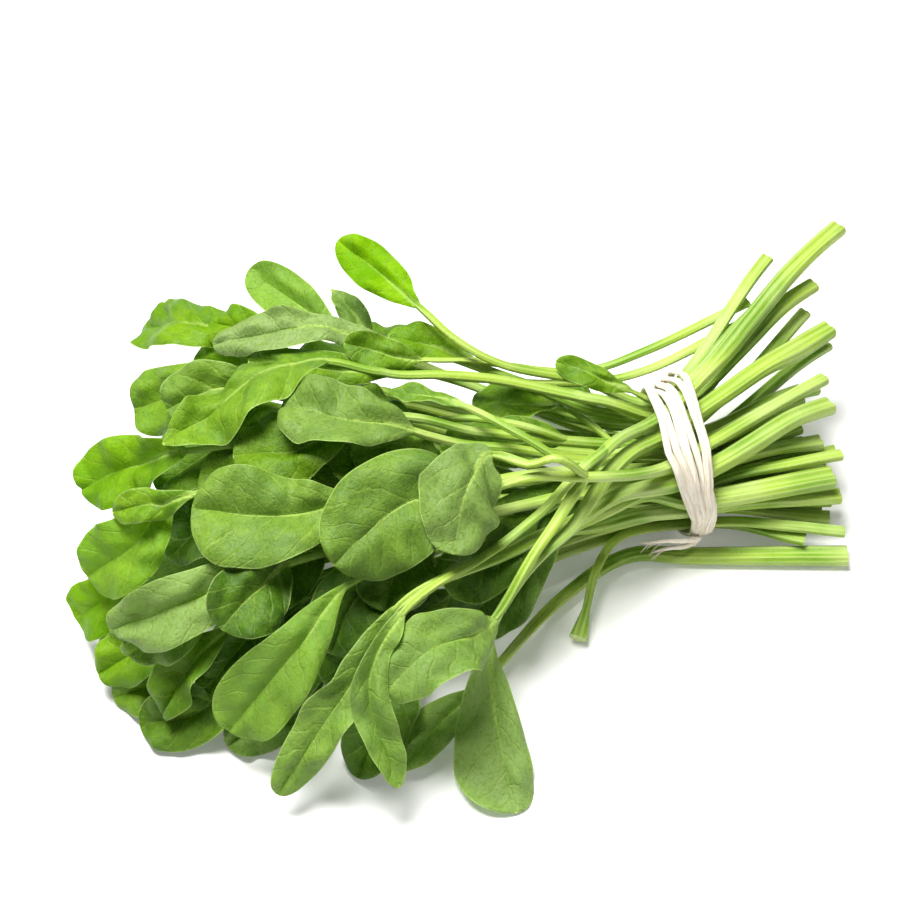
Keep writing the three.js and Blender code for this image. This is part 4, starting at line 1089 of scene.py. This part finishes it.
class Graph:
    """Short way to write a node tree: each call adds one node and returns its output."""

    def __init__(self, tree):
        self.tree = tree

    def add(self, kind, out=0, settings=None, **inputs):
        """A node with its settings made and its inputs plugged, by number (i0) or by name."""
        made = self.tree.nodes.new(kind)
        for name, value in (settings or {}).items():
            setattr(made, name, value)
        for name, value in inputs.items():
            self.plug(made.inputs[int(name[1:])] if name[0] == "i" and name[1:].isdigit()
                      else made.inputs[name.replace("_", " ")], value)
        return made.outputs[out]

    def plug(self, socket, value):
        """Links another node's output to a socket, or writes a fixed value in it."""
        if isinstance(value, bpy.types.NodeSocket):
            self.tree.links.new(value, socket)
        else:
            socket.default_value = value

    def math(self, operation, a, b=0.0, c=0.0):
        """One sum on up to three values."""
        return self.add("ShaderNodeMath", settings=dict(operation=operation), i0=a, i1=b, i2=c)

    def times(self, a, b):
        """The product of two values."""
        return self.math("MULTIPLY", a, b)

    def plus(self, a, b):
        """The first value and the second."""
        return self.math("ADD", a, b)

    def less(self, a, b):
        """The first value less the second."""
        return self.math("SUBTRACT", a, b)

    def rest(self, share):
        """What a share leaves of one."""
        return self.less(1.0, share)

    def ramp(self, value, low, high, to_low=0.0, to_high=1.0):
        """Value moved smoothly from one range to another."""
        return self.add("ShaderNodeMapRange", settings=dict(interpolation_type="SMOOTHSTEP"),
                        i0=value, i1=low, i2=high, i3=to_low, i4=to_high)

    def bump(self, height):
        """The surface's direction, tilted by a height."""
        return self.add("ShaderNodeBump", Strength=BUMP_STRENGTH, Distance=BUMP_DEPTH, Height=height)

    def mix(self, share, a, b):
        """Colours mixed by a share."""
        return self.add("ShaderNodeMix", out=2, settings=dict(data_type="RGBA"), i0=share, i6=a, i7=b)

    def films(self, colour, *films):
        """A colour under films of other colours, each with its share."""
        for share, film in films:
            colour = self.mix(share, colour, film)
        return colour

    def noise(self, vector, scale, detail=3.0, roughness=0.5, out=0):
        """Cloudy values that change from place to place."""
        return self.add("ShaderNodeTexNoise", out=out, Vector=vector, Scale=scale, Detail=detail,
                        Roughness=roughness)

    def field(self, name, out="Vector"):
        """A value that the mesh carries at its vertices."""
        return self.add("ShaderNodeAttribute", out=out, settings=dict(attribute_name=name))

    def split(self, vector):
        """The three values of a vector."""
        return [self.add("ShaderNodeSeparateXYZ", out=k, Vector=vector) for k in range(3)]

    def vector(self, x=0.0, y=0.0, z=0.0):
        """A vector of three values."""
        return self.add("ShaderNodeCombineXYZ", X=x, Y=y, Z=z)

    def moved(self, vector, by):
        """A vector with another added to it."""
        return self.add("ShaderNodeVectorMath", settings=dict(operation="ADD"), i0=vector, i1=by)

    def show(self, shader):
        """Makes a shader the material's surface."""
        self.plug(self.tree.nodes.new("ShaderNodeOutputMaterial").inputs[0], shader)


def group_of(name, inputs, outputs, build):
    """A shader node group that turns values into masks."""
    tree = bpy.data.node_groups.new(name, "ShaderNodeTree")
    for way, sockets in (("INPUT", inputs), ("OUTPUT", outputs)):
        for socket in sockets:
            tree.interface.new_socket(socket, in_out=way, socket_type="NodeSocketFloat")
    into = tree.nodes.new("NodeGroupInput")
    out = tree.nodes.new("NodeGroupOutput")
    graph = Graph(tree)
    for socket, value in build(graph, into.outputs).items():
        graph.plug(out.inputs[socket], value)
    return tree


def use_group(graph, tree, **inputs):
    """A node that shows a group, with its inputs plugged; its outputs."""
    made = graph.tree.nodes.new("ShaderNodeGroup")
    made.node_tree = tree
    for name, value in inputs.items():
        graph.plug(made.inputs[name], value)
    return made.outputs


def rgb(r, g, b):
    """A linear colour, opaque."""
    return (r, g, b, 1)


# Colours. A dull leaf takes the first of a pair, and a brighter leaf the second: painted shade on inner
# leaves and painted light on leaves that light shines through, partly each leaf's own tone.
LEAF_GREEN = Values(
    dark=(rgb(0.032, 0.100, 0.002), rgb(0.14, 0.33, 0.002)),
    light=(rgb(0.115, 0.25, 0.006), rgb(0.31, 0.53, 0.003)),
    lit=(rgb(0.20, 0.46, 0.005), rgb(0.62, 0.92, 0.01)),
    # pale is painted sheen of light on a leaf's top, partly a paler underside.
    pale=rgb(0.34, 0.45, 0.17), net=rgb(0.30, 0.45, 0.06), side_vein=rgb(0.38, 0.55, 0.07),
    under=rgb(0.28, 0.42, 0.10), midrib=rgb(0.47, 0.66, 0.14), rim=rgb(0.55, 0.72, 0.22),
    lit_vein=rgb(0.55, 0.68, 0.15))
STALK_GREEN = Values(dark=rgb(0.13, 0.30, 0.010), light=rgb(0.34, 0.50, 0.05),
                     ridge=rgb(0.54, 0.66, 0.20), pale=rgb(0.50, 0.63, 0.20),
                     cut=rgb(0.60, 0.72, 0.28))
DRY = Values(beige=rgb(0.78, 0.66, 0.48), white=rgb(0.97, 0.95, 0.88), patch=rgb(0.86, 0.76, 0.60))
FLOOR_GREY = (rgb(0.90, 0.90, 0.90), rgb(0.93, 0.93, 0.93))

# Sizes of the noise and cells, as forms to a millimetre.
FINENESS = Values(broad=0.05, mottle=0.35, grain=0.75, warp=0.08, net=0.42, streak=0.6,
                  stalk_tone=0.09, stalk_pale=0.03)


def build_veins(g, given):
    """Masks of the midrib, the curved side veins and the fine net between them.

    The midrib is a band that narrows to the tip. Side veins come at even steps of the length
    less a slant and a curve across, warped by noise. The net is the edges of small cells.
    """
    along, across, share, seed = (given[k] for k in ("Along", "Across", "Share", "Seed"))
    off = g.math("ABSOLUTE", across)
    left = g.math("LESS_THAN", across, 0.0)
    place = g.vector(along, across, g.times(seed, 3.7))
    warp = g.less(g.noise(place, FINENESS.warp, 2), 0.5)
    bent = g.plus(g.times(off, VEIN.slant), g.times(VEIN.curve, g.times(off, off)))
    run = g.plus(g.less(along, bent), g.times(warp, 12.0))
    turns = g.plus(g.math("DIVIDE", run, VEIN.step), g.times(left, 0.5))
    far = g.times(g.math("PINGPONG", turns, 0.5), VEIN.step * 0.75)
    width = g.ramp(share, 0.0, 1.0, 1.0, 0.5)
    side = g.rest(g.ramp(far, 0.0, width))
    rib_width = g.ramp(share, 0.0, 0.9, 2.1, 0.4)
    rib = g.rest(g.ramp(off, g.times(rib_width, 0.45), rib_width))
    cells = g.add("ShaderNodeTexVoronoi", settings=dict(feature="DISTANCE_TO_EDGE"),
                  Scale=FINENESS.net, Vector=g.moved(place, g.noise(place, 0.5, 1, out=1)))
    net = g.rest(g.ramp(cells, 0.0, 0.09))
    rib = g.times(rib, g.ramp(share, 0.2, 1.0, 1.0, 0.3))
    return {"Rib": rib, "Side": side, "Net": net}


def new_material(name):
    """A material without nodes, and the graph that fills it."""
    made = bpy.data.materials.new(name)
    made.use_nodes = True
    made.node_tree.nodes.clear()
    return made, Graph(made.node_tree)


def leaf_material():
    """Spinach leaf and stalk: veined blade that lets light through, with painted light, shade and sheen
    from leaf to leaf, and a streaked juicy stalk.
    """
    made, g = new_material("spinach_leaf")
    along, across, margin = g.split(g.field("leaf_mm"))
    share, blade, under = g.split(g.field("leaf_part"))
    bright, pale, seed = g.split(g.field("leaf_tone"))
    cut = g.field("leaf_cut", "Fac")
    veins = group_of("Leaf veins", ["Along", "Across", "Share", "Seed"], ["Rib", "Side", "Net"],
                     build_veins)
    vein = use_group(g, veins, Along=along, Across=across, Share=share, Seed=seed)
    place = g.vector(along, across, g.times(seed, 5.1))

    broad = g.noise(place, FINENESS.broad, 3)
    mottle = g.noise(place, FINENESS.mottle, 4, 0.6)
    grain = g.noise(place, FINENESS.grain, 5, 0.68)
    # Each leaf's brightness picks its greens: painted light on leaves that light shines through, painted
    # shade on inner leaves, partly the leaf's own tone.
    dark = g.mix(bright, *LEAF_GREEN.dark)
    light = g.mix(bright, *LEAF_GREEN.light)
    tone = g.ramp(g.plus(g.times(broad, 0.7), g.times(mottle, 0.5)), 0.4, 0.8)
    rim = g.rest(g.ramp(margin, 0.12, 0.6))
    # The pale film is painted sheen of light on the leaf, partly a paler underside.
    flesh = g.films(g.mix(tone, dark, light),
                    (g.times(pale, 0.75), LEAF_GREEN.pale),
                    (g.times(vein["Net"], 0.12), LEAF_GREEN.net),
                    (g.times(vein["Side"], 0.2), LEAF_GREEN.side_vein),
                    (g.times(under, 0.4), LEAF_GREEN.under),
                    (g.times(vein["Rib"], 0.85), LEAF_GREEN.midrib),
                    (g.ramp(grain, 0.49, 0.66, 0.0, 0.6), dark),
                    (g.times(rim, 0.55), LEAF_GREEN.rim))

    wander = g.noise(g.vector(g.times(along, 0.04), across, seed), FINENESS.streak, 2)
    turns = g.plus(g.times(across, 3.6), g.times(wander, 4.5))
    ridge = g.times(g.plus(g.math("SINE", turns), 1.0), 0.5)
    drawn_out = g.vector(g.times(along, 0.25), across, g.times(seed, 7.0))
    stalk_tone = g.noise(drawn_out, FINENESS.stalk_tone, 2)
    stalk_pale = g.noise(place, FINENESS.stalk_pale, 2)
    stalk = g.films(STALK_GREEN.dark,
                    (g.ramp(stalk_tone, 0.35, 0.65), STALK_GREEN.light),
                    (g.times(ridge, 0.45), STALK_GREEN.ridge),
                    (g.ramp(stalk_pale, 0.45, 0.7, 0.0, 0.7), STALK_GREEN.pale),
                    (cut, STALK_GREEN.cut))
    skin = g.mix(g.ramp(blade, 0.1, 1.0), stalk, flesh)

    raised = g.less(g.times(under, 2.0), 1.0)
    relief = g.plus(g.times(vein["Side"], 0.6), g.times(vein["Net"], 0.28))
    relief = g.times(g.times(relief, raised), blade)
    relief = g.plus(relief, g.times(grain, 1.3))
    relief = g.plus(relief, g.times(g.times(ridge, 0.9), g.rest(blade)))
    bump = g.bump(relief)
    rough = g.plus(g.times(under, 0.16), g.ramp(mottle, 0.3, 0.7, 0.36, 0.5))
    rough = g.less(rough, g.times(g.rest(blade), 0.1))
    body = g.add("ShaderNodeBsdfPrincipled", Base_Color=skin, Roughness=rough, Normal=bump,
                 Specular_IOR_Level=g.ramp(bright, 0.5, 1.0, 0.32, 0.16), Metallic=0.0)
    lit = g.mix(bright, *LEAF_GREEN.lit)
    lit = g.mix(g.times(vein["Side"], 0.5), lit, LEAF_GREEN.lit_vein)
    through = g.add("ShaderNodeBsdfTranslucent", Color=lit, Normal=bump)
    share_through = g.times(blade, g.ramp(bright, 0.5, 1.0, 0.3, 0.48))
    g.show(g.add("ShaderNodeMixShader", i0=share_through, i1=body, i2=through))
    return made


def raffia_material():
    """Pale raffia: dry fibres along each strand, some of them beige."""
    made, g = new_material("raffia")
    length, _, turn = g.split(g.field("strand_place"))
    one = g.field("strand_id", "Fac")
    place = g.vector(g.times(length, 0.04), g.math("SINE", turn), g.math("COSINE", turn))
    place = g.moved(place, g.vector(one, one, 0.0))
    fibre = g.noise(place, 4.5, 5, 0.65)
    patch = g.noise(place, 1.1, 2)
    colour = g.mix(g.ramp(fibre, 0.36, 0.66), DRY.beige, DRY.white)
    colour = g.mix(g.ramp(patch, 0.5, 0.72), colour, DRY.patch)
    g.show(g.add("ShaderNodeBsdfPrincipled", Base_Color=colour, Normal=g.bump(fibre),
                 Roughness=g.ramp(fibre, 0.3, 0.7, 0.75, 0.55)))
    return made


def floor_material():
    """Pale matt floor that glows a little, so that it is nearly white."""
    made, g = new_material("studio_floor")
    coords = g.add("ShaderNodeTexCoord", out="Object")
    colour = g.mix(g.noise(coords, 3.0), *FLOOR_GREY)
    g.show(g.add("ShaderNodeBsdfPrincipled", Base_Color=colour, Roughness=0.6,
                 Specular_IOR_Level=0.2, Emission_Color=rgb(1, 1, 1), Emission_Strength=FLOOR_GLOW))
    return made


# The bunch.
def cut_row(fine, at, inward):
    """A smaller upper and lower row set back from an end row: the cut face inside its lip."""
    middle = (fine.top[at].mean(0) + fine.under[at].mean(0)) / 2
    return [middle + (face[at] - middle) * CUT_FACE + inward * CUT_LIP
            for face in (fine.top, fine.under)]


def leaf_fields(one, index):
    """Values that the leaf's material reads, for each vertex of its rings."""
    fine, form = one.fine, one.form
    s, half, blade, m, radius = (v[index][:, None] for v in (
        fine.s, fine.half, fine.blade, fine.m, fine.radius))
    columns = len(fine.q)
    q = np.concatenate([fine.q, fine.q[-2:0:-1]])
    below = np.repeat([0.0, 1.0], [columns, columns - 2])
    across = q * np.maximum(half, radius)
    flat = np.ones_like(across)
    margin = (half - np.abs(q) * half) * flat + STALK_MARGIN * (1 - blade)
    cut = np.zeros_like(across)
    cut[0] = 1
    if not form.width:
        cut[-1] = 1
    return dict(leaf_mm=np.stack([s * flat, across, margin], -1),
                leaf_part=np.stack([m * flat, blade * flat, below * flat], -1),
                # Per leaf: brightness (painted light and shade, partly its own tone), pale share
                # (painted sheen, partly a paler underside), seed.
                leaf_tone=np.stack([flat * v for v in (form.bright, form.pale, one.seed)], -1),
                leaf_cut=cut)


def stem_piece(own, material):
    """One stem's leaves as one mesh with the values that its material reads."""
    points, faces, fields, count = [], [], {}, 0
    for one in own:
        fine = one.fine
        rows, columns = fine.top.shape[:2]
        inward = unit(fine.top[1].mean(0) - fine.top[0].mean(0))
        lip, end = cut_row(fine, 0, inward), cut_row(fine, -1, -inward * TIP_LIP)
        ring = ring_of(*(np.concatenate([a[None], face, b[None]])
                         for a, face, b in zip(lip, (fine.top, fine.under), end)))
        index = np.concatenate([[0], np.arange(rows), [rows - 1]])
        k = ring.shape[1]
        points.append(ring.reshape(-1, 3))
        faces.append(loft_faces(rows + 2, k, count))
        last = count + (rows + 1) * k
        for first, outward in ((count, False), (last, True)):
            cap = cap_faces(columns, first, outward)
            faces += [np.array([f for f in cap if len(f) == corners]) for corners in (4, 3)]
        for name, values in leaf_fields(one, index).items():
            fields.setdefault(name, []).append(values.reshape(-1, *values.shape[2:]))
        count += ring.shape[0] * k
    return mesh_of("leafy_" + own[0].name, np.concatenate(points), faces,
                   {name: np.concatenate(v) for name, v in fields.items()}, material)


# Camera, light and floor.
def aim(thing, place, target):
    """Puts a camera or a lamp at a place and turns it to a target."""
    thing.location = place
    thing.rotation_euler = (Vector(target) - Vector(place)).to_track_quat("-Z", "Y").to_euler()


def area_light(name, place, size, power, tint):
    """A square lamp that shines on the bunch."""
    lamp = bpy.data.lights.new(name, "AREA")
    lamp.shape = "RECTANGLE"
    lamp.size, lamp.size_y = size, size
    lamp.energy = power
    lamp.color = tint
    aim(place_new(name, lamp), place, LAMP_TARGET)


def studio():
    """The photograph's camera, soft light from above and a pale floor."""
    scene = bpy.context.scene
    lens = bpy.data.cameras.new("view")
    lens.lens = LENS
    scene.camera = place_new("view", lens)
    aim(scene.camera, VIEW_FROM, LOOK_AT)
    scene.view_settings.view_transform = "Standard"
    scene.world = bpy.data.worlds.new("studio")
    scene.world.use_nodes = True
    sky = scene.world.node_tree.nodes["Background"].inputs
    sky["Color"].default_value = rgb(1, 1, 1)
    sky["Strength"].default_value = WORLD_LIGHT
    area_light("key", **KEY)
    area_light("fill", **FILL)
    mesh = bpy.data.meshes.new("floor")
    w = FLOOR_HALF
    mesh.from_pydata([(-w, -w, 0), (w, -w, 0), (w, w, 0), (-w, w, 0)], [], [(0, 1, 2, 3)])
    mesh.materials.append(floor_material())
    floor = place_new("floor", mesh)
    floor.location.z = -FLOOR_DROP


studio()
laid = lay_stems()
fine_stems(laid)
leaf_skin = leaf_material()
for own in laid:
    piece = stem_piece(own, leaf_skin)
    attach(piece, "root")
    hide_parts("stem_" + own[0].name)
tied = [own[0].fine for own in laid if own[0].name not in LOOSE]
tie = make_tie(tied, raffia_material())
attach(tie, "root")
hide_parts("tie")
